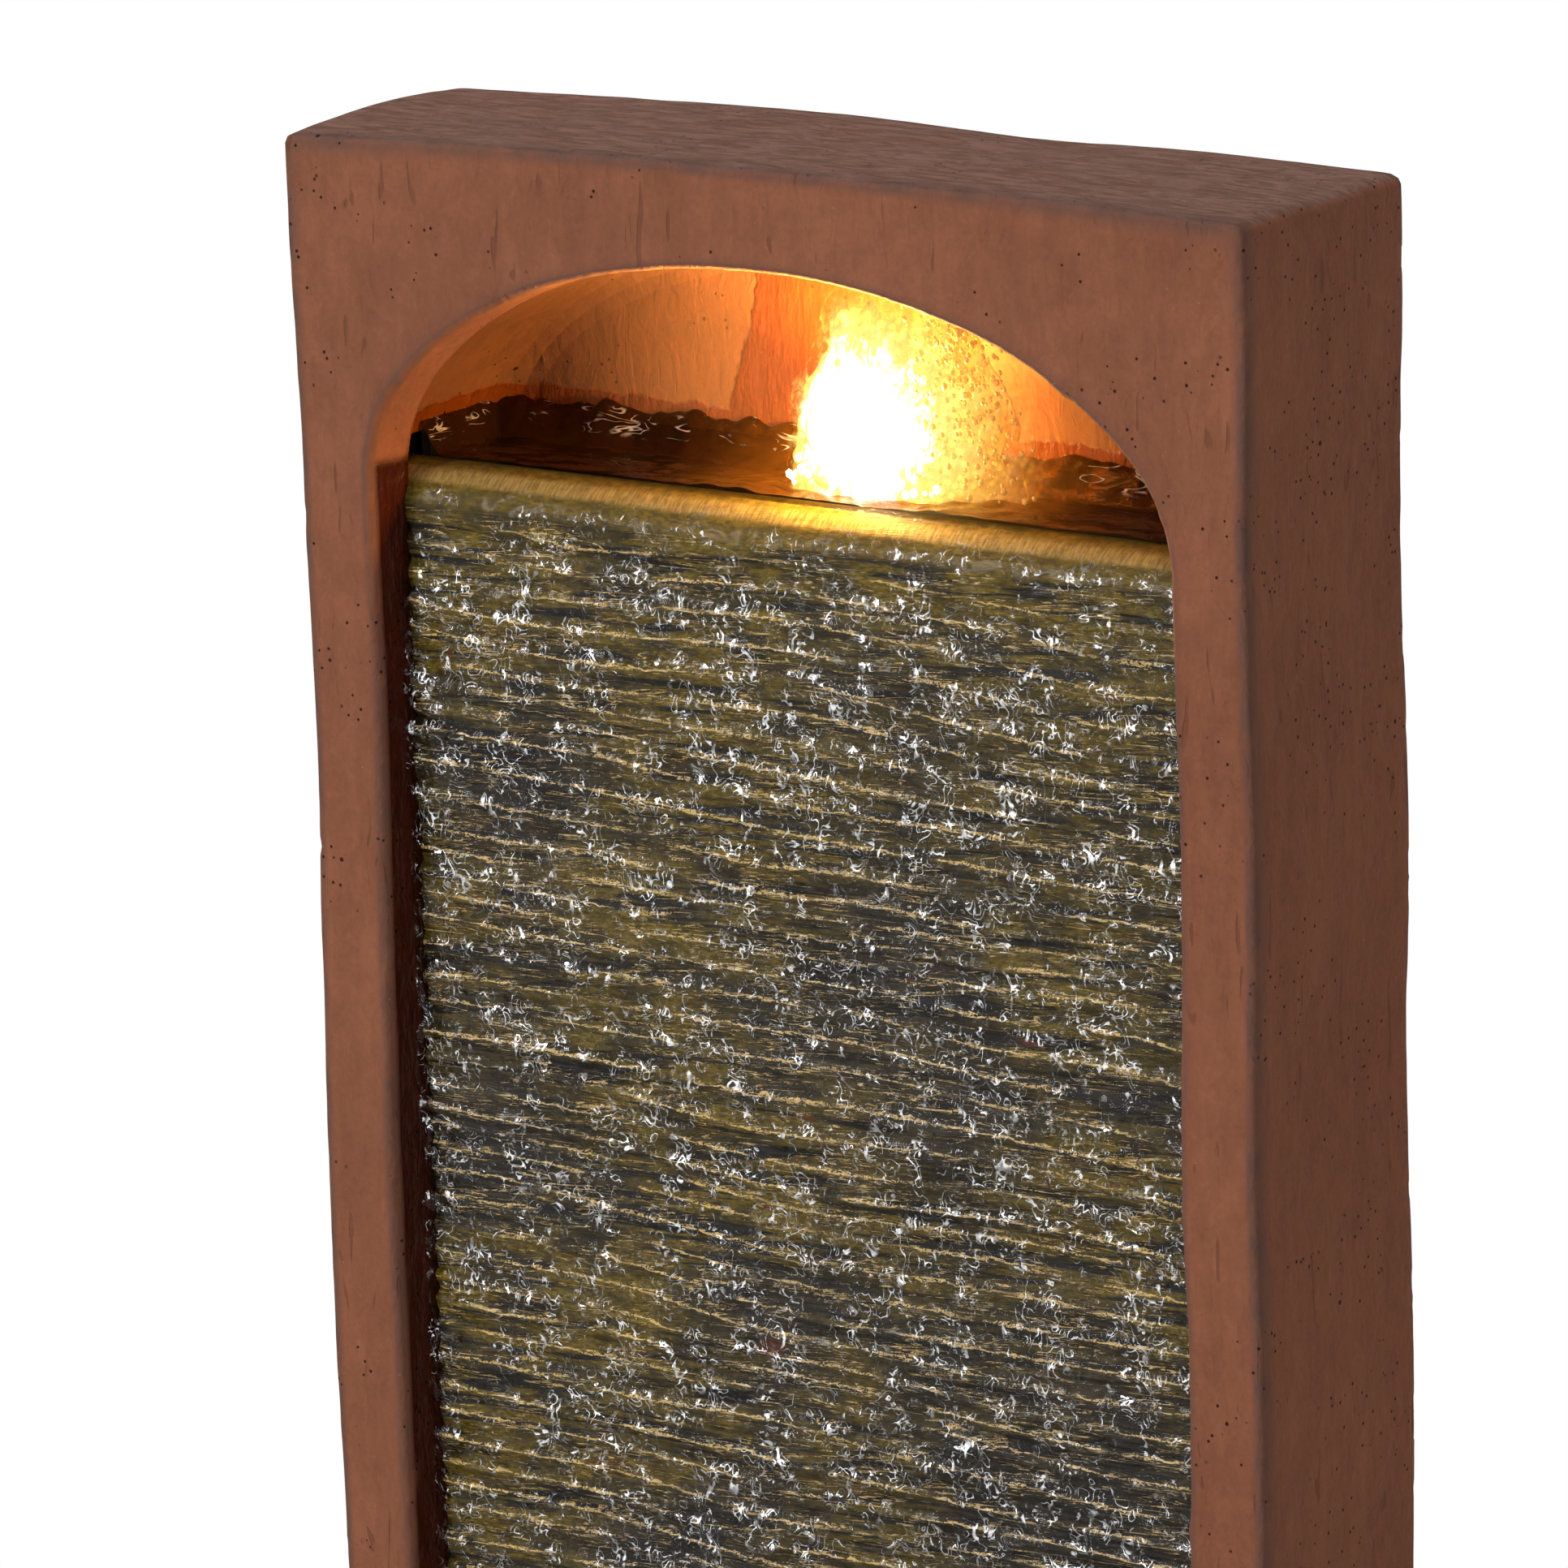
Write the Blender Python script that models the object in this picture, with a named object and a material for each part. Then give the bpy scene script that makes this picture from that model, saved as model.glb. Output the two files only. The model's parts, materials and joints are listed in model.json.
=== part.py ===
"""Outdoor waterfall fountain: a cast arch frame, a lit spout and a layered cascade panel.

Metres, +Z up, the front faces -Y. The origin is on the ground under the middle of the base.
A pump in the base's sump lifts water to a trough behind the arch. The water wells up over a
ring light, runs over the panel's rolled lip and down its ledges, and drops into the pool.
"""

import math
import random

import bmesh
import bpy
from mathutils import Vector

# Fits
GAP = 0.0003  # between solids that touch
RUNNING = 0.0003  # radial clearance of a pin or a shaft in its bore
OVERCUT = 0.002  # how far a cutter runs past the face that it opens
EDGE_BREAK = 0.001  # chamfer on the edges of moulded pieces
FINE_BREAK = 0.0005

# Frame casting
FRAME_WIDTH = 0.400
FRAME_DEPTH = 0.106
TOTAL_HEIGHT = 1.000
FRAME_CROWN = 0.0035  # how far the top edge's middle stands above its ends
FRAME_CORNER_RADIUS = 0.004
FRAME_FRONT_RADIUS = 0.0025
FRAME_BACK_RADIUS = 0.0025
FRONT_WALL = 0.020
SIDE_WALL = 0.018
FRONT_MARGIN = 0.0305  # beside the opening
ARCH_BAND = 0.037  # above the opening's crown
ARCH_RISE = 0.091
ARCH_EDGE_RADIUS = 0.003
REBATE_WIDTH = 0.010
REBATE_DEPTH = 0.006

# Base casting
BASE_WIDTH = 0.460
BASE_DEPTH = 0.250
BASE_HEIGHT = 0.130
BASE_RIM = 0.014  # width of the rim at the top
BASE_FLOOR = 0.012
BASE_CORNER_RADIUS = 0.024
RIM_BAND = 0.024  # height of the rim's band
RIM_RELIEF = 0.006  # how far the band stands out from the wall
RIM_ROUND = 0.004
PLINTH_BAND = 0.022
PLINTH_RELIEF = 0.005
FRAME_SEAT_DEPTH = 0.012  # how far the frame drops into the base
SEAT_LEDGE = 0.008  # the ledge in front of the frame's legs
SUMP_MARGIN = 0.003  # how far the sump's sides stand inside the arch opening

# Feet and drain
FOOT_HEIGHT = 0.005
FOOT_RADIUS = 0.013
FOOT_SPIGOT_RADIUS = 0.0047
FOOT_SPIGOT = 0.0045
FOOT_INSET = 0.022  # from the base's sides to a foot's centre
DRAIN_X = -0.130
DRAIN_RISE = 0.026  # above the pool's floor
DRAIN_BORE_RADIUS = 0.008
DRAIN_HEAD_RADIUS = 0.0125
DRAIN_HEAD = 0.003
DRAIN_INNER_LENGTH = 0.004
DRAIN_BREAK = 0.0015

# Tie bolts between base and frame
BOLT_RADIUS = 0.003
BOLT_HEAD_RADIUS = 0.0055
BOLT_HEAD = 0.005
BOLT_RECESS = 0.009
BOLT_RECESS_RADIUS = 0.0075
BOLT_GRIP = 0.032  # length inside the frame's leg
BOLT_END_MARGIN = 0.018  # from the frame's front and back to a bolt

# Cascade panel
PANEL_THICKNESS = 0.010
PANEL_OVERLAP = 0.008  # behind the front wall, on each side
RELIEF_DEPTH = 0.0062
RELIEF_MARGIN = 0.0012  # from the relief to the opening's sides
RELIEF_FADE = 0.002  # from the flat edge to the first full ledge
LEDGE_PITCH = 0.0102
LEDGE_NOSE = 0.68  # height of a ledge's nose, as a share of the ledge
LEDGE_WANDER = 0.16  # how far a ledge's line wanders, as a share of the ledge
LEDGE_GROOVE = 0.12  # depth of the groove under a ledge, as a share of its shelf
LIP_TOP_BELOW_SPRING = -0.003
LIP_RADIUS = 0.014
LIP_PROUD = 0.003
LIP_FLANGE = 0.007
LIP_FLANGE_DROP = 0.0035
LIP_LENGTH = 0.0205  # from the panel's front plane to the lip's rear end
LIP_STEPS = 5
PANEL_COLUMNS = 11
CLIP_THICKNESS = 0.002
CLIP_HEIGHT = 0.024
CLIP_LEG = 0.022

# Header trough and niche
TROUGH_WALL = 0.003
TROUGH_CORNER_RADIUS = 0.006
TROUGH_FLOOR_BELOW_LIP = 0.040  # water depth under the lip's top
TROUGH_RIM_ABOVE_LIP = 0.009
TROUGH_SIDE_CLEARANCE = 0.0065
NICHE_DEPTH = 0.082  # from the frame's front to the niche's back wall
NICHE_WALL = 0.003
NICHE_CORNER_RADIUS = 0.014
NICHE_REVEAL = 0.0012  # how far the niche's wall stands outside the arch edge
BRACKET_THICKNESS = 0.003
BRACKET_LEG = 0.030
BRACKET_DROP = 0.036

# Spout and ring light
SPOUT_X = 0.005
SPOUT_DEPTH = 0.060  # from the frame's front
FITTING_RADIUS = 0.0088
FITTING_FLANGE_RADIUS = 0.014
FITTING_FLANGE = 0.003
FITTING_THREAD = 0.014  # length under the trough's floor
WATERWAY_RADIUS = 0.0042
BARB_RADIUS = 0.0062
BARB_LENGTH = 0.022
BARB_TAPER = 0.002
GASKET_THICKNESS = 0.0015
NUT_RADIUS = 0.0145
NUT_HEIGHT = 0.006
NUT_SIDES = 6
NUT_BREAK = 0.0012
NOZZLE_RADIUS = 0.0056
NOZZLE_TIP_RADIUS = 0.0046
NOZZLE_BORE = 0.0030
NOZZLE_HEIGHT = 0.027
NOZZLE_TIP = 0.008
NOZZLE_TAPER = 0.004
LIGHT_RADIUS = 0.0180
LIGHT_EYE_RADIUS = 0.0072
LIGHT_HEIGHT = 0.020
LIGHT_WALL = 0.0018
LENS_THICKNESS = 0.0026
LENS_BREAK = 0.0008
BOARD_THICKNESS = 0.0016
LED_COUNT = 6
LED_SIDES = 8
LED_RADIUS = 0.0022
LED_HEIGHT = 0.0018

# Back cover and access door
COVER_THICKNESS = 0.005
COVER_CLEARANCE = 0.0005
COVER_SCREW_RADIUS = 0.0018
COVER_SCREW_HEAD_RADIUS = 0.0038
COVER_SCREW_HEAD = 0.0024
COVER_SCREW_LENGTH = 0.014
COVER_SCREW_POINT = 0.003
COVER_SCREW_TOP = 0.050  # below the cover's top
COVER_SCREW_MIDDLE = 0.330  # above the cover's foot
DOOR_WIDTH = 0.180
DOOR_HEIGHT = 0.190
DOOR_SILL = 0.032  # above the cover's foot
DOOR_THICKNESS = 0.0038
DOOR_CLEARANCE = 0.001
DOOR_CORNER_RADIUS = 0.008
DOOR_FIELD_INSET = 0.016
DOOR_FIELD_DEPTH = 0.0012
HINGE_PIN_RADIUS = 0.0013
HINGE_PIN_HEAD_RADIUS = 0.0021
HINGE_PIN_HEAD = 0.0012
HINGE_KNUCKLE_RADIUS = 0.0030
HINGE_HEIGHT = 0.026
HINGE_LEAF_WIDTH = 0.018
HINGE_LEAF = 0.0014
HINGE_INSET = 0.030  # from the door's ends to a hinge's middle
KNOB_RADIUS = 0.008
KNOB_NECK_RADIUS = 0.0042
KNOB_LENGTH = 0.0115
KNOB_INSET = 0.020
KNOB_SHANK_RADIUS = 0.002
MAGNET_WIDTH = 0.026
MAGNET_HEIGHT = 0.030
MAGNET_DEPTH = 0.010
MAGNET_OVERLAP = 0.012  # how far it reaches behind the door
STRIKE_THICKNESS = 0.0008
STRIKE_MARGIN = 0.002  # from the strike plate to the door's end
GROMMET_X = 0.150
GROMMET_RISE = 0.034  # above the cover's foot
GROMMET_BORE = 0.0050
GROMMET_NECK_RADIUS = 0.0075
GROMMET_FLANGE_RADIUS = 0.0105
GROMMET_FLANGE = 0.002

# Pump
PUMP_X = -0.030  # face that the volute plate closes
PUMP_DEPTH = 0.072  # from the frame's front to the pump's axis
PUMP_LENGTH = 0.064
PUMP_WIDTH = 0.046
PUMP_HEIGHT = 0.050
PUMP_CORNER_RADIUS = 0.009
PUMP_END_ROUND = 0.004
CUP_HEIGHT = 0.008
CUP_RADIUS = 0.0085
CUP_NECK_RADIUS = 0.0032
CUP_RIM = 0.0008
CUP_FLARE = 0.0015
CUP_INSET = 0.011
VOLUTE_RADIUS = 0.0185
VOLUTE_DEPTH = 0.017
ROTOR_RADIUS = 0.0098
ROTOR_LENGTH = 0.030
ROTOR_CLEARANCE = 0.0007
IMPELLER_RADIUS = 0.0155
IMPELLER_HUB_RADIUS = 0.0045
IMPELLER_DISC = 0.0016
BLADE_COUNT = 6
BLADE_WIDTH = 0.010
BLADE_THICKNESS = 0.0012
BLADE_SWEEP = math.radians(48.0)
SHAFT_RADIUS = 0.0015
SHAFT_SEAT = 0.006
OUTLET_OFFSET = 0.0105
OUTLET_LENGTH = 0.020
OUTLET_BOSS = 0.0015
PLATE_THICKNESS = 0.0022
INTAKE_RADIUS = 0.0100
INTAKE_HUB_RADIUS = 0.0036
INTAKE_ARMS = 3
INTAKE_ARM_ANGLE = math.radians(24.0)
INTAKE_STEPS = 6
STRAINER_LENGTH = 0.024
STRAINER_WALL = 0.002
SLOT_WIDTH = 0.0024
SLOT_PITCH = 0.0050
SLOT_COUNT = 3  # on each side of the dial
DIAL_RADIUS = 0.0078
DIAL_THICKNESS = 0.003
DIAL_STUB_RADIUS = 0.002
DIAL_TAB = 0.005
DIAL_TAB_HALF = 0.0012

# Hose
HOSE_RADIUS = 0.0082
HOSE_BORE_CLEARANCE = 0.0003
HOSE_SIDES = 8
HOSE_RINGS = 8  # in each of its bends
HOSE_STAND_OFF = 0.0120  # from the panel's back to the hose's middle
HOSE_END_STRAIGHT = 0.034
HOSE_BEND = 0.120
HOSE_FOOT_MARGIN = 0.006  # from the pump's top to the hose's end
HOSE_HEAD_MARGIN = 0.001  # from the fitting's thread to the hose's end
HOSE_PROBE = 0.001  # step that finds the hose's direction
CLAMP_THICKNESS = 0.0014
CLAMP_WIDTH = 0.008
CLAMP_SCREW = 0.007
CLAMP_SETBACK = 0.004  # from the hose's end
SADDLE_WALL = 0.002
SADDLE_HEIGHT = 0.014

# Fineness of round shapes
CORNER_STEPS = 4
ARCH_STEPS = 28
ROUND_SMALL = 10
ROUND_MEDIUM = 16
ROUND_LARGE = 24
LEAF_STEPS = 9  # round a hinge's knuckle

# Places worked out from the sizes above
BASE_FRONT = -BASE_DEPTH / 2
POCKET_BACK = BASE_DEPTH / 2 - BASE_RIM
FRAME_BACK = POCKET_BACK - GAP
FRAME_FRONT = FRAME_BACK - FRAME_DEPTH
FRAME_HALF = FRAME_WIDTH / 2
SEAT_Z = BASE_HEIGHT - FRAME_SEAT_DEPTH
FRAME_FOOT = SEAT_Z + GAP
POOL_FLOOR = FOOT_HEIGHT + BASE_FLOOR
OPENING_HALF = FRAME_HALF - FRONT_MARGIN
SPRING_Z = TOTAL_HEIGHT - ARCH_BAND - ARCH_RISE
FRONT_WALL_BACK = FRAME_FRONT + FRONT_WALL
CAVITY_HALF = FRAME_HALF - SIDE_WALL
PANEL_FRONT = FRONT_WALL_BACK + GAP
PANEL_BACK = PANEL_FRONT + PANEL_THICKNESS
PANEL_HALF = OPENING_HALF + PANEL_OVERLAP
PANEL_FOOT = SEAT_Z + GAP
LIP_TOP = SPRING_Z - LIP_TOP_BELOW_SPRING
LIP_REAR = PANEL_FRONT + LIP_LENGTH
FLANGE_TOP = LIP_TOP - LIP_FLANGE_DROP
FLANGE_UNDERSIDE = FLANGE_TOP - LIP_FLANGE
NICHE_BACK = FRAME_FRONT + NICHE_DEPTH
TROUGH_FRONT = LIP_REAR - TROUGH_WALL - 2 * GAP
TROUGH_BACK = NICHE_BACK + NICHE_WALL + GAP
TROUGH_HALF = CAVITY_HALF - TROUGH_SIDE_CLEARANCE
TROUGH_FLOOR = LIP_TOP - TROUGH_FLOOR_BELOW_LIP
TROUGH_UNDERSIDE = TROUGH_FLOOR - TROUGH_WALL
TROUGH_RIM = LIP_TOP + TROUGH_RIM_ABOVE_LIP
SPOUT_Y = FRAME_FRONT + SPOUT_DEPTH
COVER_FRONT = FRAME_BACK - REBATE_DEPTH + GAP
COVER_BACK = COVER_FRONT + COVER_THICKNESS
DOOR_LOW = FRAME_FOOT + DOOR_SILL
DOOR_HIGH = DOOR_LOW + DOOR_HEIGHT
DOOR_FRONT = COVER_BACK - DOOR_THICKNESS
HINGE_X = -DOOR_WIDTH / 2 - DOOR_CLEARANCE / 2
HINGE_Y = COVER_BACK + GAP + HINGE_KNUCKLE_RADIUS
PUMP_Y = FRAME_FRONT + PUMP_DEPTH
PUMP_BOTTOM = POOL_FLOOR + CUP_HEIGHT + 2 * GAP
PUMP_Z = PUMP_BOTTOM + PUMP_HEIGHT / 2
OUTLET_X = PUMP_X + VOLUTE_DEPTH / 2
OUTLET_Y = PUMP_Y + OUTLET_OFFSET
OUTLET_TOP = PUMP_BOTTOM + PUMP_HEIGHT + OUTLET_LENGTH
FITTING_BARB_TOP = TROUGH_UNDERSIDE - FITTING_THREAD
FITTING_BARB_END = FITTING_BARB_TOP - BARB_LENGTH
STRAINER_BACK = PUMP_X - GAP - PLATE_THICKNESS - GAP
STRAINER_FACE = STRAINER_BACK - STRAINER_LENGTH


def clear_scene():
    """Removes whatever the file held."""
    for obj in list(bpy.data.objects):
        bpy.data.objects.remove(obj, do_unlink=True)


def material(name, colour, roughness, metallic=0.0, transmission=0.0):
    """A plain finish of one colour."""
    finish = bpy.data.materials.new(name)
    finish.use_nodes = True
    shader = finish.node_tree.nodes["Principled BSDF"]
    shader.inputs["Base Color"].default_value = (*colour, 1.0)
    shader.inputs["Roughness"].default_value = roughness
    shader.inputs["Metallic"].default_value = metallic
    shader.inputs["Transmission Weight"].default_value = transmission
    return finish


def add_object(name, bm, finish):
    """Puts a finished mesh into the scene under its node's name."""
    mesh = bpy.data.meshes.new(name)
    bm.to_mesh(mesh)
    bm.free()
    mesh.materials.append(finish)
    obj = bpy.data.objects.new(name, mesh)
    bpy.context.scene.collection.objects.link(obj)
    return obj


def loft_bmesh(rings, closed=False):
    """A solid through rings of equal count, capped at both ends or joined into a tube."""
    bm = bmesh.new()
    loops = [[bm.verts.new(point) for point in ring] for ring in rings]
    pairs = list(zip(loops, loops[1:]))
    if closed:
        pairs.append((loops[-1], loops[0]))
    count = len(loops[0])
    for first, second in pairs:
        for i in range(count):
            j = (i + 1) % count
            bm.faces.new((first[i], first[j], second[j], second[i]))
    if not closed:
        bm.faces.new(loops[0])
        bm.faces.new(loops[-1])
    bmesh.ops.recalc_face_normals(bm, faces=bm.faces)
    return bm


def loft(name, rings, finish, closed=False):
    """An object lofted through rings."""
    return add_object(name, loft_bmesh(rings, closed), finish)


def smooth(obj, degrees=35.0):
    """Smooth shading with the sharp edges kept."""
    obj.data.shade_smooth()
    obj.data.set_sharp_from_angle(angle=math.radians(degrees))
    return obj


def circle(radius, height, sides, centre=(0.0, 0.0)):
    """A level ring of points round the Z axis through centre."""
    steps = [2 * math.pi * i / sides for i in range(sides)]
    return [
        (centre[0] + radius * math.cos(a), centre[1] + radius * math.sin(a), height)
        for a in steps
    ]


def turned(name, profile, finish, sides=ROUND_MEDIUM, centre=(0.0, 0.0), hollow=False):
    """A turned solid round a vertical axis. A hollow profile is a closed loop off the axis."""
    rings = [circle(radius, height, sides, centre) for radius, height in profile]
    return smooth(loft(name, rings, finish, closed=hollow))


def turned_lying(name, profile, finish, origin, direction, sides=ROUND_MEDIUM, hollow=False):
    """A turned solid round an axis through origin. Its heights run along direction."""
    obj = turned(name, profile, finish, sides, hollow=hollow)
    obj.rotation_euler = Vector(direction).to_track_quat("Z", "Y").to_euler()
    obj.location = origin
    return obj


def rounded_rectangle(low, high, radius, steps=CORNER_STEPS):
    """Corner-rounded outline between two corners, anticlockwise, as pairs."""
    centres = (
        (high[0] - radius, high[1] - radius),
        (low[0] + radius, high[1] - radius),
        (low[0] + radius, low[1] + radius),
        (high[0] - radius, low[1] + radius),
    )
    points = []
    for quarter, centre in enumerate(centres):
        for step in range(steps + 1):
            angle = math.pi / 2 * (quarter + step / steps)
            points.append(
                (centre[0] + radius * math.cos(angle), centre[1] + radius * math.sin(angle))
            )
    return points


def box(name, low, high, finish, bevel=0.0):
    """A box between two corners, with its edges rounded by bevel."""
    bm = bmesh.new()
    bmesh.ops.create_cube(bm, size=1.0)
    low, high = Vector(low), Vector(high)
    bmesh.ops.scale(bm, vec=high - low, verts=bm.verts)
    bmesh.ops.translate(bm, vec=(low + high) / 2, verts=bm.verts)
    if bevel:
        bmesh.ops.bevel(
            bm, geom=bm.edges[:], offset=bevel, segments=1, profile=0.5, affect="EDGES"
        )
    return add_object(name, bm, finish)


def as_helper(obj):
    """Keeps a cutter or an added shape out of the finished part."""
    obj.hide_render = True
    obj.display_type = "WIRE"
    return obj


def combine(target, helper, operation="DIFFERENCE"):
    """Cuts helper from target, or joins it on."""
    as_helper(helper)
    modifier = target.modifiers.new(helper.name, "BOOLEAN")
    modifier.operation = operation
    modifier.solver = "EXACT"
    modifier.object = helper
    return target


def bore(target, name, radius, start, end, sides=ROUND_SMALL):
    """Cuts a round hole between two points."""
    start, end = Vector(start), Vector(end)
    profile = ((radius, 0.0), (radius, (end - start).length))
    cutter = turned_lying(
        name, profile, target.data.materials[0], start, end - start, sides
    )
    return combine(target, cutter)


def cutter_boxes(name, boxes, finish):
    """Several separate boxes in one cutter."""
    bm = bmesh.new()
    for low, high in boxes:
        made = bmesh.ops.create_cube(bm, size=1.0)["verts"]
        bmesh.ops.scale(bm, vec=Vector(high) - Vector(low), verts=made)
        bmesh.ops.translate(bm, vec=(Vector(high) + Vector(low)) / 2, verts=made)
    return add_object(name, bm, finish)


def rounding(radius, steps):
    """Depth and offset pairs that round an edge from its face inward."""
    pairs = []
    for step in range(steps + 1):
        angle = math.pi / 2 * step / steps
        pairs.append((radius * (1 - math.cos(angle)), radius * (1 - math.sin(angle))))
    return pairs


def crown_drop(x):
    """How far the frame's top lies below its middle at x."""
    return FRAME_CROWN * (x / FRAME_HALF) ** 2


def frame_outline(y, inset, foot, corner):
    """The frame's front outline, inset all round but at its foot."""
    half = FRAME_HALF - inset
    left = []
    top_end = TOTAL_HEIGHT - inset - crown_drop(half - corner)
    for step in range(CORNER_STEPS + 1):
        angle = math.pi / 2 * step / CORNER_STEPS
        left.append(
            (
                -half + corner * (1 - math.cos(angle)),
                top_end - corner * (1 - math.sin(angle)),
            )
        )
    crown = []
    for step in range(1, 5):
        x = -(half - corner) * (1 - step / 5)
        crown.append((x, TOTAL_HEIGHT - inset - crown_drop(x)))
    points = [(-half, foot), *left, *crown]
    mirrored = [(-x, z) for x, z in reversed(points)]
    middle = [(0.0, TOTAL_HEIGHT - inset)]
    return [(x, y, z) for x, z in points + middle + mirrored]


def arch_outline(y, offset, foot):
    """The arch opening's outline, grown by offset, down to foot."""
    half = OPENING_HALF + offset
    rise = ARCH_RISE + offset
    points = [(-half, y, foot)]
    for step in range(ARCH_STEPS + 1):
        angle = math.pi * step / ARCH_STEPS
        points.append((-half * math.cos(angle), y, SPRING_Z + rise * math.sin(angle)))
    points.append((half, y, foot))
    return points


def make_frame(finish):
    """The arch frame: one casting, open at the back and the foot, with a rebate for the cover."""
    rings = []
    for depth, inset in rounding(FRAME_FRONT_RADIUS, 3):
        rings.append(
            frame_outline(FRAME_FRONT + depth, inset, FRAME_FOOT, FRAME_CORNER_RADIUS - inset)
        )
    for depth, inset in reversed(rounding(FRAME_BACK_RADIUS, 2)):
        rings.append(
            frame_outline(FRAME_BACK - depth, inset, FRAME_FOOT, FRAME_CORNER_RADIUS - inset)
        )
    frame = smooth(loft("frame_shell", rings, finish))

    below = FRAME_FOOT - OVERCUT
    opening = [arch_outline(FRAME_FRONT - OVERCUT, ARCH_EDGE_RADIUS, below)]
    for depth, offset in rounding(ARCH_EDGE_RADIUS, 4):
        opening.append(arch_outline(FRAME_FRONT + depth, offset, below))
    opening.append(arch_outline(FRONT_WALL_BACK + OVERCUT, 0.0, below))
    combine(frame, loft("frame_opening_cutter", opening, finish))

    corner = FRAME_CORNER_RADIUS / 2
    cavity = [
        frame_outline(y, SIDE_WALL, below, corner)
        for y in (FRONT_WALL_BACK, FRAME_BACK + OVERCUT)
    ]
    combine(frame, loft("frame_cavity_cutter", cavity, finish))
    rebate = [
        frame_outline(y, SIDE_WALL - REBATE_WIDTH, below, corner)
        for y in (FRAME_BACK - REBATE_DEPTH, FRAME_BACK + OVERCUT)
    ]
    combine(frame, loft("frame_rebate_cutter", rebate, finish))

    for i, (x, y) in enumerate(bolt_places()):
        top = FRAME_FOOT + BOLT_GRIP + OVERCUT
        bore(frame, f"frame_bolt_bore_{i}", BOLT_RADIUS + GAP, (x, y, below), (x, y, top))
    for i, (x, z) in enumerate(cover_screw_places()):
        start = COVER_FRONT - COVER_SCREW_LENGTH
        bore(
            frame,
            f"frame_screw_bore_{i}",
            COVER_SCREW_RADIUS + GAP,
            (x, start, z),
            (x, COVER_FRONT + OVERCUT, z),
        )
    return frame


def bolt_places():
    """Where the tie bolts stand, in the middle of the frame's side walls."""
    x = FRAME_HALF - SIDE_WALL / 2
    front = FRAME_FRONT + BOLT_END_MARGIN
    back = FRAME_BACK - REBATE_DEPTH - BOLT_END_MARGIN
    return [(-x, front), (x, front), (-x, back), (x, back)]


def cover_screw_places():
    """Where the cover's screws sit on the rebate's land."""
    x = CAVITY_HALF + REBATE_WIDTH / 2
    top = TOTAL_HEIGHT - SIDE_WALL - COVER_SCREW_TOP
    middle = FRAME_FOOT + COVER_SCREW_MIDDLE
    return [(-x, middle), (x, middle), (-x, top), (x, top)]


def make_frame_bolts(finish):
    """Long bolts that come up through the base's shoulders into the frame's legs."""
    head_low = FOOT_HEIGHT + BOLT_RECESS - BOLT_HEAD - GAP
    tip = FRAME_FOOT + BOLT_GRIP
    profile = (
        (BOLT_HEAD_RADIUS, head_low),
        (BOLT_HEAD_RADIUS, head_low + BOLT_HEAD),
        (BOLT_RADIUS, head_low + BOLT_HEAD),
        (BOLT_RADIUS, tip - BOLT_RADIUS / 2),
        (BOLT_RADIUS / 2, tip),
    )
    for i, place in enumerate(bolt_places()):
        turned(f"frame_bolt_{i + 1}", profile, finish, ROUND_SMALL, place)


def base_ring(z, inset):
    """The base's outline at one height."""
    half_x, half_y = BASE_WIDTH / 2 - inset, BASE_DEPTH / 2 - inset
    outline = rounded_rectangle(
        (-half_x, -half_y), (half_x, half_y), BASE_CORNER_RADIUS - inset
    )
    return [(x, y, z) for x, y in outline]


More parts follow.
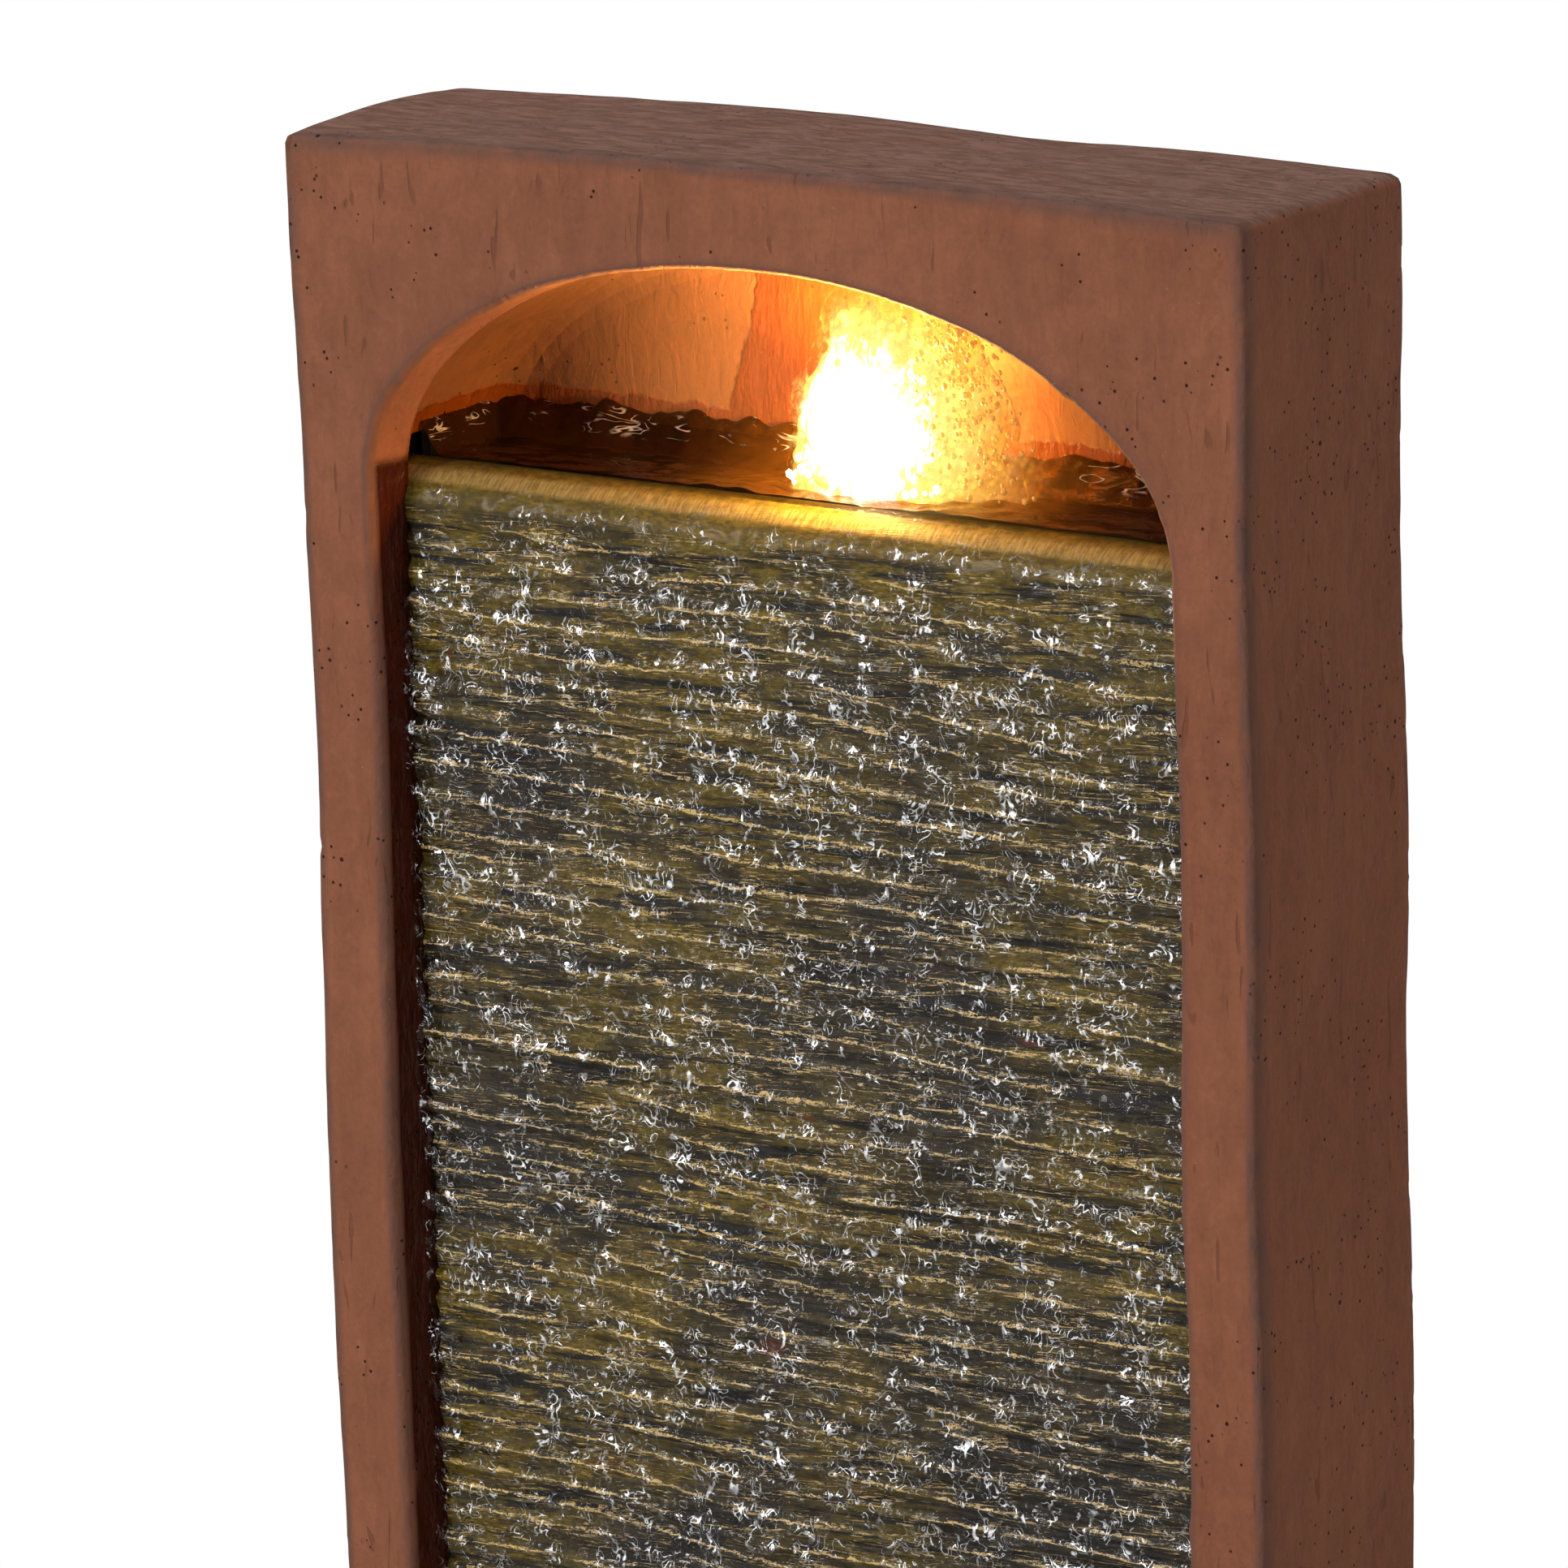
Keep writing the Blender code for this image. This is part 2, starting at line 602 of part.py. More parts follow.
def make_base(finish):
    """The catch basin: a cast tub with a banded rim, a plinth and shoulders for the frame."""
    rim_low = BASE_HEIGHT - RIM_BAND
    plinth_top = FOOT_HEIGHT + PLINTH_BAND
    plinth = RIM_RELIEF - PLINTH_RELIEF
    profile = [
        (FOOT_HEIGHT, plinth + RIM_ROUND / 2),
        (FOOT_HEIGHT + RIM_ROUND / 2, plinth),
        (plinth_top - PLINTH_RELIEF / 2, plinth),
        (plinth_top + PLINTH_RELIEF / 2, RIM_RELIEF),
        (rim_low - RIM_RELIEF / 2, RIM_RELIEF),
        (rim_low + RIM_RELIEF / 2, 0.0),
    ]
    profile += [(BASE_HEIGHT - depth, inset) for depth, inset in reversed(rounding(RIM_ROUND, 3))]
    base = smooth(loft("base_basin", [base_ring(z, inset) for z, inset in profile], finish), 50.0)

    above = BASE_HEIGHT + OVERCUT
    pool_back = FRAME_FRONT - SEAT_LEDGE
    rounding_radius = BASE_CORNER_RADIUS - BASE_RIM + RIM_RELIEF
    half = BASE_WIDTH / 2 - BASE_RIM
    front = BASE_FRONT + BASE_RIM
    pool = []
    for z, inset in ((POOL_FLOOR, RIM_ROUND), (POOL_FLOOR + RIM_ROUND, 0.0), (above, 0.0)):
        outline = rounded_rectangle(
            (-half + inset, front + inset), (half - inset, pool_back - inset), rounding_radius
        )
        pool.append([(x, y, z) for x, y in outline])
    combine(base, loft("base_pool_cutter", pool, finish))

    sump_half = OPENING_HALF - SUMP_MARGIN
    sump_outline = rounded_rectangle(
        (-sump_half, front + rounding_radius), (sump_half, POCKET_BACK), rounding_radius
    )
    sump = [[(x, y, z) for x, y in sump_outline] for z in (POOL_FLOOR, above)]
    combine(base, loft("base_sump_cutter", sump, finish))
    pocket = box(
        "base_pocket_cutter",
        (-FRAME_HALF - GAP, FRAME_FRONT - GAP, SEAT_Z),
        (FRAME_HALF + GAP, POCKET_BACK, above),
        finish,
    )
    combine(base, pocket)

    for i, (x, y) in enumerate(bolt_places()):
        low = FOOT_HEIGHT - OVERCUT
        bore(base, f"base_bolt_bore_{i}", BOLT_RADIUS + GAP, (x, y, low), (x, y, above))
        recess_top = FOOT_HEIGHT + BOLT_RECESS
        bore(base, f"base_recess_{i}", BOLT_RECESS_RADIUS, (x, y, low), (x, y, recess_top))
    for i, (x, y) in enumerate(foot_places()):
        start = (x, y, FOOT_HEIGHT - OVERCUT)
        end = (x, y, FOOT_HEIGHT + FOOT_SPIGOT + GAP)
        bore(base, f"base_foot_bore_{i}", FOOT_SPIGOT_RADIUS + GAP, start, end)
    drain_z = POOL_FLOOR + DRAIN_RISE
    bore(
        base,
        "base_drain_bore",
        DRAIN_BORE_RADIUS,
        (DRAIN_X, POCKET_BACK - OVERCUT, drain_z),
        (DRAIN_X, BASE_DEPTH / 2 + OVERCUT, drain_z),
        ROUND_MEDIUM,
    )
    return base


def foot_places():
    """Where the feet stand."""
    x = BASE_WIDTH / 2 - FOOT_INSET
    y = BASE_DEPTH / 2 - FOOT_INSET
    return [(-x, -y), (x, -y), (-x, y), (x, y)]


def make_feet(finish):
    """Rubber feet, each held by a spigot in the base's underside."""
    top = FOOT_HEIGHT - GAP
    profile = (
        (FOOT_RADIUS - EDGE_BREAK, 0.0),
        (FOOT_RADIUS, EDGE_BREAK),
        (FOOT_RADIUS, top),
        (FOOT_SPIGOT_RADIUS, top),
        (FOOT_SPIGOT_RADIUS, top + FOOT_SPIGOT),
    )
    for i, place in enumerate(foot_places()):
        turned(f"base_foot_{i + 1}", profile, finish, ROUND_MEDIUM, place)


def make_drain_plug(finish):
    """A push-in rubber bung with a finger grip, at the foot of the base's rear wall."""
    wall_face = BASE_DEPTH / 2 - RIM_RELIEF
    wall = wall_face - POCKET_BACK
    shank = DRAIN_BORE_RADIUS - RUNNING
    profile = (
        (shank - DRAIN_BREAK, -wall - DRAIN_INNER_LENGTH),
        (shank, -wall - DRAIN_INNER_LENGTH / 2),
        (shank, GAP),
        (DRAIN_HEAD_RADIUS, GAP),
        (DRAIN_HEAD_RADIUS, DRAIN_HEAD * 0.6),
        (DRAIN_HEAD_RADIUS - DRAIN_BREAK, DRAIN_HEAD),
        (DRAIN_HEAD_RADIUS * 0.45, DRAIN_HEAD),
        (DRAIN_HEAD_RADIUS * 0.40, DRAIN_HEAD * 0.55),
    )
    origin = (DRAIN_X, wall_face, POOL_FLOOR + DRAIN_RISE)
    turned_lying("drain_plug", profile, finish, origin, (0.0, 1.0, 0.0))


def ledge_levels():
    """Each ledge's foot, shelf depth, tilt, phase and taper, seeded so that it repeats."""
    draw = random.Random(41)
    low = PANEL_FOOT + LEDGE_PITCH * 0.6
    high = LIP_TOP - LIP_RADIUS - LEDGE_PITCH * 0.4
    count = max(4, round((high - low) / LEDGE_PITCH))
    weights = [draw.uniform(0.68, 1.36) for _ in range(count)]
    share = (high - low) / sum(weights)
    ledges = []
    z = low
    for weight in weights:
        height = weight * share
        ledges.append(
            {
                "foot": z,
                "height": height,
                "shelf": RELIEF_DEPTH * draw.uniform(0.36, 1.0),
                "phase": draw.uniform(0.0, 2 * math.pi),
                "waves": draw.uniform(1.4, 4.2),
                "swell": draw.uniform(0.15, 0.5),
            }
        )
        z += height
    return ledges


def panel_section(x, ledges):
    """The panel's section at x: up the ledges, over the lip and down the flat back."""
    edge = OPENING_HALF - RELIEF_MARGIN
    inside = abs(x) < edge
    across = x / OPENING_HALF
    points = [(PANEL_FRONT, PANEL_FOOT)]
    for ledge in ledges:
        wave = math.sin(ledge["phase"] + ledge["waves"] * math.pi * across)
        bow = math.sin(ledge["phase"] * 1.7 + math.pi * across)
        lift = LEDGE_WANDER * ledge["height"] * wave if inside else 0.0
        shelf = ledge["shelf"] * (1 - ledge["swell"] * (0.5 + 0.5 * bow * wave)) if inside else 0.0
        groove = LEDGE_GROOVE * ledge["shelf"] if inside else 0.0
        foot = ledge["foot"] + lift
        points.append((PANEL_FRONT - groove, foot))
        points.append((PANEL_FRONT - shelf - groove, foot + LEDGE_NOSE * ledge["height"]))
    proud = LIP_PROUD if inside else 0.0
    centre_y, centre_z = PANEL_FRONT + LIP_RADIUS, LIP_TOP - LIP_RADIUS
    for step in range(LIP_STEPS + 1):
        angle = math.pi / 2 * step / LIP_STEPS
        reach = LIP_RADIUS + proud * (1 - step / LIP_STEPS)
        points.append(
            (centre_y - reach * math.cos(angle), centre_z + LIP_RADIUS * math.sin(angle))
        )
    points.append((LIP_REAR, FLANGE_TOP))
    points.append((LIP_REAR, FLANGE_UNDERSIDE))
    points.append((PANEL_BACK, FLANGE_UNDERSIDE))
    points.append((PANEL_BACK, PANEL_FOOT))
    return [(x, y, z) for y, z in points]


def make_panel(finish):
    """The cascade panel: layered ledges under a rolled lip, flat where the frame clamps it."""
    ledges = ledge_levels()
    edge = OPENING_HALF - RELIEF_MARGIN
    inner = edge - RELIEF_FADE
    stations = [-PANEL_HALF, -edge]
    for i in range(PANEL_COLUMNS + 1):
        stations.append(-inner + 2 * inner * i / PANEL_COLUMNS)
    stations += [edge, PANEL_HALF]
    panel = loft("cascade_panel", [panel_section(x, ledges) for x in stations], finish)
    return smooth(panel, 30.0)


def make_panel_clips(finish):
    """Angle clips that hold the panel's edges against the frame's front wall."""
    foot = PANEL_BACK + GAP
    outer = CAVITY_HALF - GAP
    inner = outer - CLIP_THICKNESS
    reach = PANEL_HALF - PANEL_OVERLAP
    outline = (
        (reach, foot),
        (outer, foot),
        (outer, foot + CLIP_LEG),
        (inner, foot + CLIP_LEG),
        (inner, foot + CLIP_THICKNESS),
        (reach, foot + CLIP_THICKNESS),
    )
    span = TROUGH_UNDERSIDE - FRAME_FOOT
    number = 0
    for side in (-1, 1):
        for share in (0.2, 0.8):
            number += 1
            z = FRAME_FOOT + span * share
            rings = [
                [(side * x, y, level) for x, y in outline]
                for level in (z - CLIP_HEIGHT / 2, z + CLIP_HEIGHT / 2)
            ]
            loft(f"panel_clip_{number}", rings, finish)


def trough_ring(inset, z):
    """The trough's outline at one height."""
    outline = rounded_rectangle(
        (-TROUGH_HALF + inset, TROUGH_FRONT + inset),
        (TROUGH_HALF - inset, TROUGH_BACK - inset),
        TROUGH_CORNER_RADIUS - inset,
        3,
    )
    return [(x, y, z) for x, y in outline]


def make_trough(finish):
    """The header trough: its front wall stands under the lip, its other walls carry the niche."""
    rings = [
        trough_ring(0.0, TROUGH_UNDERSIDE),
        trough_ring(0.0, TROUGH_RIM),
        trough_ring(TROUGH_WALL, TROUGH_RIM),
        trough_ring(TROUGH_WALL, TROUGH_FLOOR),
    ]
    trough = smooth(loft("header_trough", rings, finish))
    notch = box(
        "trough_notch_cutter",
        (-TROUGH_HALF - OVERCUT, TROUGH_FRONT - OVERCUT, FLANGE_UNDERSIDE - GAP),
        (TROUGH_HALF + OVERCUT, LIP_REAR + GAP, TROUGH_RIM + OVERCUT),
        finish,
    )
    combine(trough, notch)
    bore(
        trough,
        "trough_inlet_bore",
        FITTING_RADIUS + GAP,
        (SPOUT_X, SPOUT_Y, TROUGH_UNDERSIDE - OVERCUT),
        (SPOUT_X, SPOUT_Y, TROUGH_FLOOR + OVERCUT),
        ROUND_MEDIUM,
    )
    return trough


def make_trough_brackets(finish):
    """Steel angles on the frame's side walls, under the trough's ends."""
    top = TROUGH_UNDERSIDE - GAP
    outer = CAVITY_HALF - GAP
    outline = (
        (outer, top),
        (outer - BRACKET_LEG, top),
        (outer - BRACKET_LEG, top - BRACKET_THICKNESS),
        (outer - BRACKET_THICKNESS, top - BRACKET_THICKNESS),
        (outer - BRACKET_THICKNESS, top - BRACKET_DROP),
        (outer, top - BRACKET_DROP),
    )
    for side, word in ((-1, "left"), (1, "right")):
        rings = [
            [(side * x, y, z) for x, z in outline]
            for y in (TROUGH_FRONT + TROUGH_WALL, TROUGH_BACK - TROUGH_WALL)
        ]
        loft(f"trough_bracket_{word}", rings, finish)


def niche_rings(offset, foot):
    """The niche's wall from its mouth to its rounded back, grown by offset."""
    mouth = FRONT_WALL_BACK + GAP
    back = NICHE_BACK + offset
    rings = [arch_outline(mouth, NICHE_REVEAL + offset, foot)]
    for depth, inset in reversed(rounding(NICHE_CORNER_RADIUS, 4)):
        rings.append(arch_outline(back - depth, NICHE_REVEAL + offset - inset, foot))
    return rings


def make_niche(finish):
    """The niche: an arched alcove with a rounded back, standing on the trough's rim."""
    below = min(SPRING_Z, TROUGH_RIM) - 2 * NICHE_WALL
    rings = list(reversed(niche_rings(NICHE_WALL, below - NICHE_WALL)))
    rings += niche_rings(0.0, below)
    niche = smooth(loft("niche_liner", rings, finish))
    foot = box(
        "niche_foot_cutter",
        (-FRAME_HALF, FRAME_FRONT, below - 2 * NICHE_WALL),
        (FRAME_HALF, FRAME_BACK, TROUGH_RIM + GAP),
        finish,
    )
    return combine(niche, foot)


def make_spout(metal, rubber, plastic):
    """The inlet through the trough's floor, with its gasket, nut and nozzle."""
    centre = (SPOUT_X, SPOUT_Y)
    gasket_low = TROUGH_FLOOR + GAP
    gasket_high = gasket_low + GASKET_THICKNESS
    flange_low = gasket_high + GAP
    flange_high = flange_low + FITTING_FLANGE
    fitting = (
        (WATERWAY_RADIUS, flange_high),
        (FITTING_FLANGE_RADIUS, flange_high),
        (FITTING_FLANGE_RADIUS, flange_low),
        (FITTING_RADIUS, flange_low),
        (FITTING_RADIUS, FITTING_BARB_TOP),
        (BARB_RADIUS, FITTING_BARB_TOP),
        (BARB_RADIUS, FITTING_BARB_END + BARB_TAPER),
        (BARB_RADIUS - EDGE_BREAK, FITTING_BARB_END),
        (WATERWAY_RADIUS, FITTING_BARB_END),
    )
    turned("inlet_fitting", fitting, plastic, ROUND_MEDIUM, centre, hollow=True)
    gasket = (
        (FITTING_RADIUS + GAP, gasket_high),
        (FITTING_FLANGE_RADIUS, gasket_high),
        (FITTING_FLANGE_RADIUS, gasket_low),
        (FITTING_RADIUS + GAP, gasket_low),
    )
    turned("inlet_gasket", gasket, rubber, ROUND_MEDIUM, centre, hollow=True)

    nut_high = TROUGH_UNDERSIDE - GAP
    nut_low = nut_high - NUT_HEIGHT
    rings = [
        circle(NUT_RADIUS - NUT_BREAK, nut_low, NUT_SIDES, centre),
        circle(NUT_RADIUS, nut_low + NUT_BREAK, NUT_SIDES, centre),
        circle(NUT_RADIUS, nut_high, NUT_SIDES, centre),
    ]
    nut = loft("inlet_nut", rings, plastic)
    low = (*centre, nut_low - OVERCUT)
    high = (*centre, nut_high + OVERCUT)
    bore(nut, "inlet_nut_bore", FITTING_RADIUS + RUNNING, low, high, ROUND_MEDIUM)

    foot = flange_high + GAP
    tip = foot + NOZZLE_HEIGHT
    nozzle = (
        (NOZZLE_BORE, tip),
        (NOZZLE_TIP_RADIUS, tip),
        (NOZZLE_TIP_RADIUS, tip - NOZZLE_TIP),
        (NOZZLE_RADIUS, tip - NOZZLE_TIP - NOZZLE_TAPER),
        (NOZZLE_RADIUS, foot),
        (NOZZLE_BORE, foot),
    )
    turned("spout_nozzle", nozzle, metal, ROUND_MEDIUM, centre, hollow=True)
    return foot


def make_ring_light(foot, metal, glass, board_finish):
    """The ring light round the nozzle: a housing, a board with its diodes and a clear lens."""
    centre = (SPOUT_X, SPOUT_Y)
    top = foot + LIGHT_HEIGHT
    inside_low = foot + LIGHT_WALL
    inner = LIGHT_EYE_RADIUS + LIGHT_WALL
    outer = LIGHT_RADIUS - LIGHT_WALL
    housing = (
        (LIGHT_EYE_RADIUS, top),
        (inner, top),
        (inner, inside_low),
        (outer, inside_low),
        (outer, top),
        (LIGHT_RADIUS, top),
        (LIGHT_RADIUS, foot + LIGHT_WALL),
        (LIGHT_RADIUS - LIGHT_WALL, foot),
        (LIGHT_EYE_RADIUS, foot),
    )
    turned("light_housing", housing, metal, ROUND_LARGE, centre, hollow=True)

    board_low = inside_low + GAP
    board_high = board_low + BOARD_THICKNESS
    board = (
        (inner + GAP, board_high),
        (outer - GAP, board_high),
        (outer - GAP, board_low),
        (inner + GAP, board_low),
    )
    ring = turned("light_board", board, board_finish, ROUND_LARGE, centre, hollow=True)
    middle = (inner + outer) / 2
    for i in range(LED_COUNT):
        angle = 2 * math.pi * (i + 0.5) / LED_COUNT
        place = (SPOUT_X + middle * math.cos(angle), SPOUT_Y + middle * math.sin(angle))
        dome = (
            (LED_RADIUS, board_low + BOARD_THICKNESS / 2),
            (LED_RADIUS, board_high + LED_HEIGHT / 2),
            (LED_RADIUS * 0.6, board_high + LED_HEIGHT),
        )
        combine(ring, turned(f"light_diode_{i}", dome, board_finish, LED_SIDES, place), "UNION")

    lens_low = top + GAP
    lens_high = lens_low + LENS_THICKNESS
    lens = (
        (LIGHT_EYE_RADIUS, lens_high - FINE_BREAK),
        (LIGHT_EYE_RADIUS + FINE_BREAK, lens_high),
        (LIGHT_RADIUS - LENS_BREAK, lens_high),
        (LIGHT_RADIUS, lens_high - LENS_BREAK),
        (LIGHT_RADIUS, lens_low),
        (LIGHT_EYE_RADIUS, lens_low),
    )
    turned("light_lens", lens, glass, ROUND_LARGE, centre, hollow=True)


def make_cover(finish):
    """The back cover, in the frame's rebate, with the door's opening and a cable hole."""
    foot = FRAME_FOOT
    inset = SIDE_WALL - REBATE_WIDTH + COVER_CLEARANCE
    corner = FRAME_CORNER_RADIUS / 2
    rings = [frame_outline(y, inset, foot, corner) for y in (COVER_FRONT, COVER_BACK)]
    cover = loft("back_cover", rings, finish)
    for i, (x, z) in enumerate(cover_screw_places()):
        start = (x, COVER_FRONT - OVERCUT, z)
        end = (x, COVER_BACK + OVERCUT, z)
        bore(cover, f"cover_screw_bore_{i}", COVER_SCREW_RADIUS + GAP, start, end)
    grommet_z = foot + GROMMET_RISE
    bore(
        cover,
        "cover_grommet_bore",
        GROMMET_NECK_RADIUS + GAP,
        (GROMMET_X, COVER_FRONT - OVERCUT, grommet_z),
        (GROMMET_X, COVER_BACK + OVERCUT, grommet_z),
        ROUND_MEDIUM,
    )
    grow = DOOR_CLEARANCE
    outline = rounded_rectangle(
        (-DOOR_WIDTH / 2 - grow, DOOR_LOW - grow),
        (DOOR_WIDTH / 2 + grow, DOOR_HIGH + grow),
        DOOR_CORNER_RADIUS + grow,
    )
    opening = [
        [(x, y, z) for x, z in outline] for y in (COVER_FRONT - OVERCUT, COVER_BACK + OVERCUT)
    ]
    combine(cover, loft("cover_door_cutter", opening, finish))
    return cover


def make_cover_screws(finish):
    """Pan-head screws through the cover into the frame."""
    head = COVER_SCREW_HEAD_RADIUS
    profile = (
        (COVER_SCREW_RADIUS * 0.4, -COVER_SCREW_LENGTH),
        (COVER_SCREW_RADIUS, -COVER_SCREW_LENGTH + COVER_SCREW_POINT),
        (COVER_SCREW_RADIUS, GAP),
        (head, GAP),
        (head, COVER_SCREW_HEAD * 0.5),
        (head * 0.62, COVER_SCREW_HEAD),
    )
    for i, (x, z) in enumerate(cover_screw_places()):
        name = f"cover_screw_{i + 1}"
        turned_lying(name, profile, finish, (x, COVER_BACK, z), (0.0, 1.0, 0.0), ROUND_SMALL)


def make_grommet(finish):
    """The rubber grommet that the leads would pass through."""
    neck = GROMMET_NECK_RADIUS
    flange = GROMMET_FLANGE_RADIUS
    outer_face = COVER_THICKNESS + GAP + GROMMET_FLANGE
    inner_face = -GAP - GROMMET_FLANGE
    profile = (
        (GROMMET_BORE, outer_face),
        (flange - EDGE_BREAK, outer_face),
        (flange, outer_face - EDGE_BREAK),
        (flange, COVER_THICKNESS + GAP),
        (neck, COVER_THICKNESS + GAP),
        (neck, -GAP),
        (flange, -GAP),
        (flange - EDGE_BREAK, inner_face),
        (GROMMET_BORE, inner_face),
    )
    origin = (GROMMET_X, COVER_FRONT, FRAME_FOOT + GROMMET_RISE)
    turned_lying(
        "cable_grommet", profile, finish, origin, (0.0, 1.0, 0.0), ROUND_MEDIUM, hollow=True
    )


def hinge_heights():
    """The middles of the two hinges."""
    return [DOOR_LOW + HINGE_INSET, DOOR_HIGH - HINGE_INSET]


def leaf_outline(side):
    """A hinge leaf with its knuckle, seen from above, on one side of the pin."""
    low = -HINGE_KNUCKLE_RADIUS + GAP
    high = -HINGE_KNUCKLE_RADIUS + HINGE_LEAF - GAP
    reach = HINGE_KNUCKLE_RADIUS + HINGE_LEAF_WIDTH / 4
    start = math.asin(high / HINGE_KNUCKLE_RADIUS)
    end = 2 * math.pi + math.asin(low / HINGE_KNUCKLE_RADIUS)
    points = [(side * reach, high)]
    for step in range(LEAF_STEPS + 1):
        angle = start + (end - start) * step / LEAF_STEPS
        points.append(
            (
                side * HINGE_KNUCKLE_RADIUS * math.cos(angle),
                HINGE_KNUCKLE_RADIUS * math.sin(angle),
            )
        )
    points.append((side * reach, low))
    return points


def make_hinge_leaf(name, side, centre, knuckles, finish):
    """One leaf: a plate beside the knuckles with its rolled knuckles joined on."""
    low, high = centre - HINGE_HEIGHT / 2, centre + HINGE_HEIGHT / 2
    near = side * (HINGE_KNUCKLE_RADIUS + 2 * GAP)
    far = side * (HINGE_KNUCKLE_RADIUS + HINGE_LEAF_WIDTH)
    plate = box(
        name,
        (min(near, far), -HINGE_KNUCKLE_RADIUS, low),
        (max(near, far), -HINGE_KNUCKLE_RADIUS + HINGE_LEAF, high),
        finish,
    )
    plate.location = (HINGE_X, HINGE_Y, 0.0)
    for i, (start, end) in enumerate(knuckles):
        rings = [[(x, y, z) for x, y in leaf_outline(side)] for z in (start, end)]
        knuckle = loft(f"{name}_knuckle_{i}", rings, finish)
        knuckle.location = plate.location
        combine(plate, knuckle, "UNION")
    bore(
        plate,
        f"{name}_bore",
        HINGE_PIN_RADIUS + RUNNING,
        (HINGE_X, HINGE_Y, low - OVERCUT),
        (HINGE_X, HINGE_Y, high + OVERCUT),
    )
    return plate


def make_hinges(finish):
    """Two butt hinges: fixed leaves on the cover, door leaves between their knuckles, pins."""
    third = HINGE_HEIGHT / 3
    for i, centre in enumerate(hinge_heights()):
        low, high = centre - HINGE_HEIGHT / 2, centre + HINGE_HEIGHT / 2
        outer = ((low, low + third - GAP), (high - third + GAP, high))
        middle = ((low + third + GAP, high - third - GAP),)
        make_hinge_leaf(f"hinge_fixed_leaf_{i + 1}", -1, centre, outer, finish)
        make_hinge_leaf(f"hinge_door_leaf_{i + 1}", 1, centre, middle, finish)
        profile = (
            (HINGE_PIN_RADIUS - FINE_BREAK, low - EDGE_BREAK),
            (HINGE_PIN_RADIUS, low),
            (HINGE_PIN_RADIUS, high + GAP),
            (HINGE_PIN_HEAD_RADIUS, high + GAP),
            (HINGE_PIN_HEAD_RADIUS, high + GAP + HINGE_PIN_HEAD),
        )
        turned(f"hinge_pin_{i + 1}", profile, finish, ROUND_SMALL, (HINGE_X, HINGE_Y))


def make_door(finish):
    """The access door: a flat plate with a sunk field, in the cover's opening."""
    outline = rounded_rectangle(
        (-DOOR_WIDTH / 2, DOOR_LOW), (DOOR_WIDTH / 2, DOOR_HIGH), DOOR_CORNER_RADIUS
    )
    rings = [
        [(x - HINGE_X, y - HINGE_Y, z) for x, z in outline] for y in (DOOR_FRONT, COVER_BACK)
    ]
    door = loft("access_door", rings, finish)
    door.location = (HINGE_X, HINGE_Y, 0.0)
    field_inset = DOOR_FIELD_INSET + HINGE_LEAF_WIDTH
    field = rounded_rectangle(
        (-DOOR_WIDTH / 2 + field_inset, DOOR_LOW + field_inset),
        (DOOR_WIDTH / 2 - field_inset, DOOR_HIGH - field_inset),
        DOOR_CORNER_RADIUS,
    )
    floor = COVER_BACK - DOOR_FIELD_DEPTH
    rings = [[(x, y, z) for x, z in field] for y in (floor, COVER_BACK + OVERCUT)]
    combine(door, loft("door_field_cutter", rings, finish))
    knob_x, knob_z = knob_place()
    bore(
        door,
        "door_knob_bore",
        KNOB_SHANK_RADIUS + GAP,
        (knob_x, DOOR_FRONT - OVERCUT, knob_z),
        (knob_x, COVER_BACK + OVERCUT, knob_z),
    )
    return door


def knob_place():
    """Where the knob sits on the door."""
    return DOOR_WIDTH / 2 - KNOB_INSET, (DOOR_LOW + DOOR_HIGH) / 2


def make_knob(finish):
    """A turned pull with its shank through the door."""
    knob_x, knob_z = knob_place()
    profile = (
        (KNOB_SHANK_RADIUS, -DOOR_THICKNESS),
        (KNOB_SHANK_RADIUS, GAP),
        (KNOB_NECK_RADIUS + EDGE_BREAK, GAP),
        (KNOB_NECK_RADIUS, KNOB_LENGTH * 0.25),
        (KNOB_NECK_RADIUS, KNOB_LENGTH * 0.42),
        (KNOB_RADIUS * 0.94, KNOB_LENGTH * 0.62),
        (KNOB_RADIUS, KNOB_LENGTH * 0.8),
        (KNOB_RADIUS * 0.8, KNOB_LENGTH),
    )
    turned_lying("door_knob", profile, finish, (knob_x, COVER_BACK, knob_z), (0.0, 1.0, 0.0))


def make_catch(plastic, metal):
    """The magnetic catch behind the cover and the strike plate on the door."""
    middle = (DOOR_LOW + DOOR_HIGH) / 2
    face = COVER_FRONT - GAP
    inner = DOOR_WIDTH / 2 - MAGNET_OVERLAP
    low, high = middle - MAGNET_HEIGHT / 2, middle + MAGNET_HEIGHT / 2
    box(
        "magnet_catch",
        (inner, face - MAGNET_DEPTH, low),
        (inner + MAGNET_WIDTH, face, high),
        plastic,
        bevel=EDGE_BREAK,
    )
    strike_y = DOOR_FRONT - GAP - STRIKE_THICKNESS
    strike = box(
        "strike_plate",
        (inner + GAP - HINGE_X, strike_y - HINGE_Y, low),
        (DOOR_WIDTH / 2 - STRIKE_MARGIN - HINGE_X, strike_y + STRIKE_THICKNESS - HINGE_Y, high),
        metal,
    )
    strike.location = (HINGE_X, HINGE_Y, 0.0)


def pump_ring(x, inset, radius):
    """The pump's outline across its axis."""
    outline = rounded_rectangle(
        (PUMP_Y - PUMP_WIDTH / 2 + inset, PUMP_BOTTOM + inset),
        (PUMP_Y + PUMP_WIDTH / 2 - inset, PUMP_BOTTOM + PUMP_HEIGHT - inset),
        radius,
    )
    return [(x, y, z) for y, z in outline]


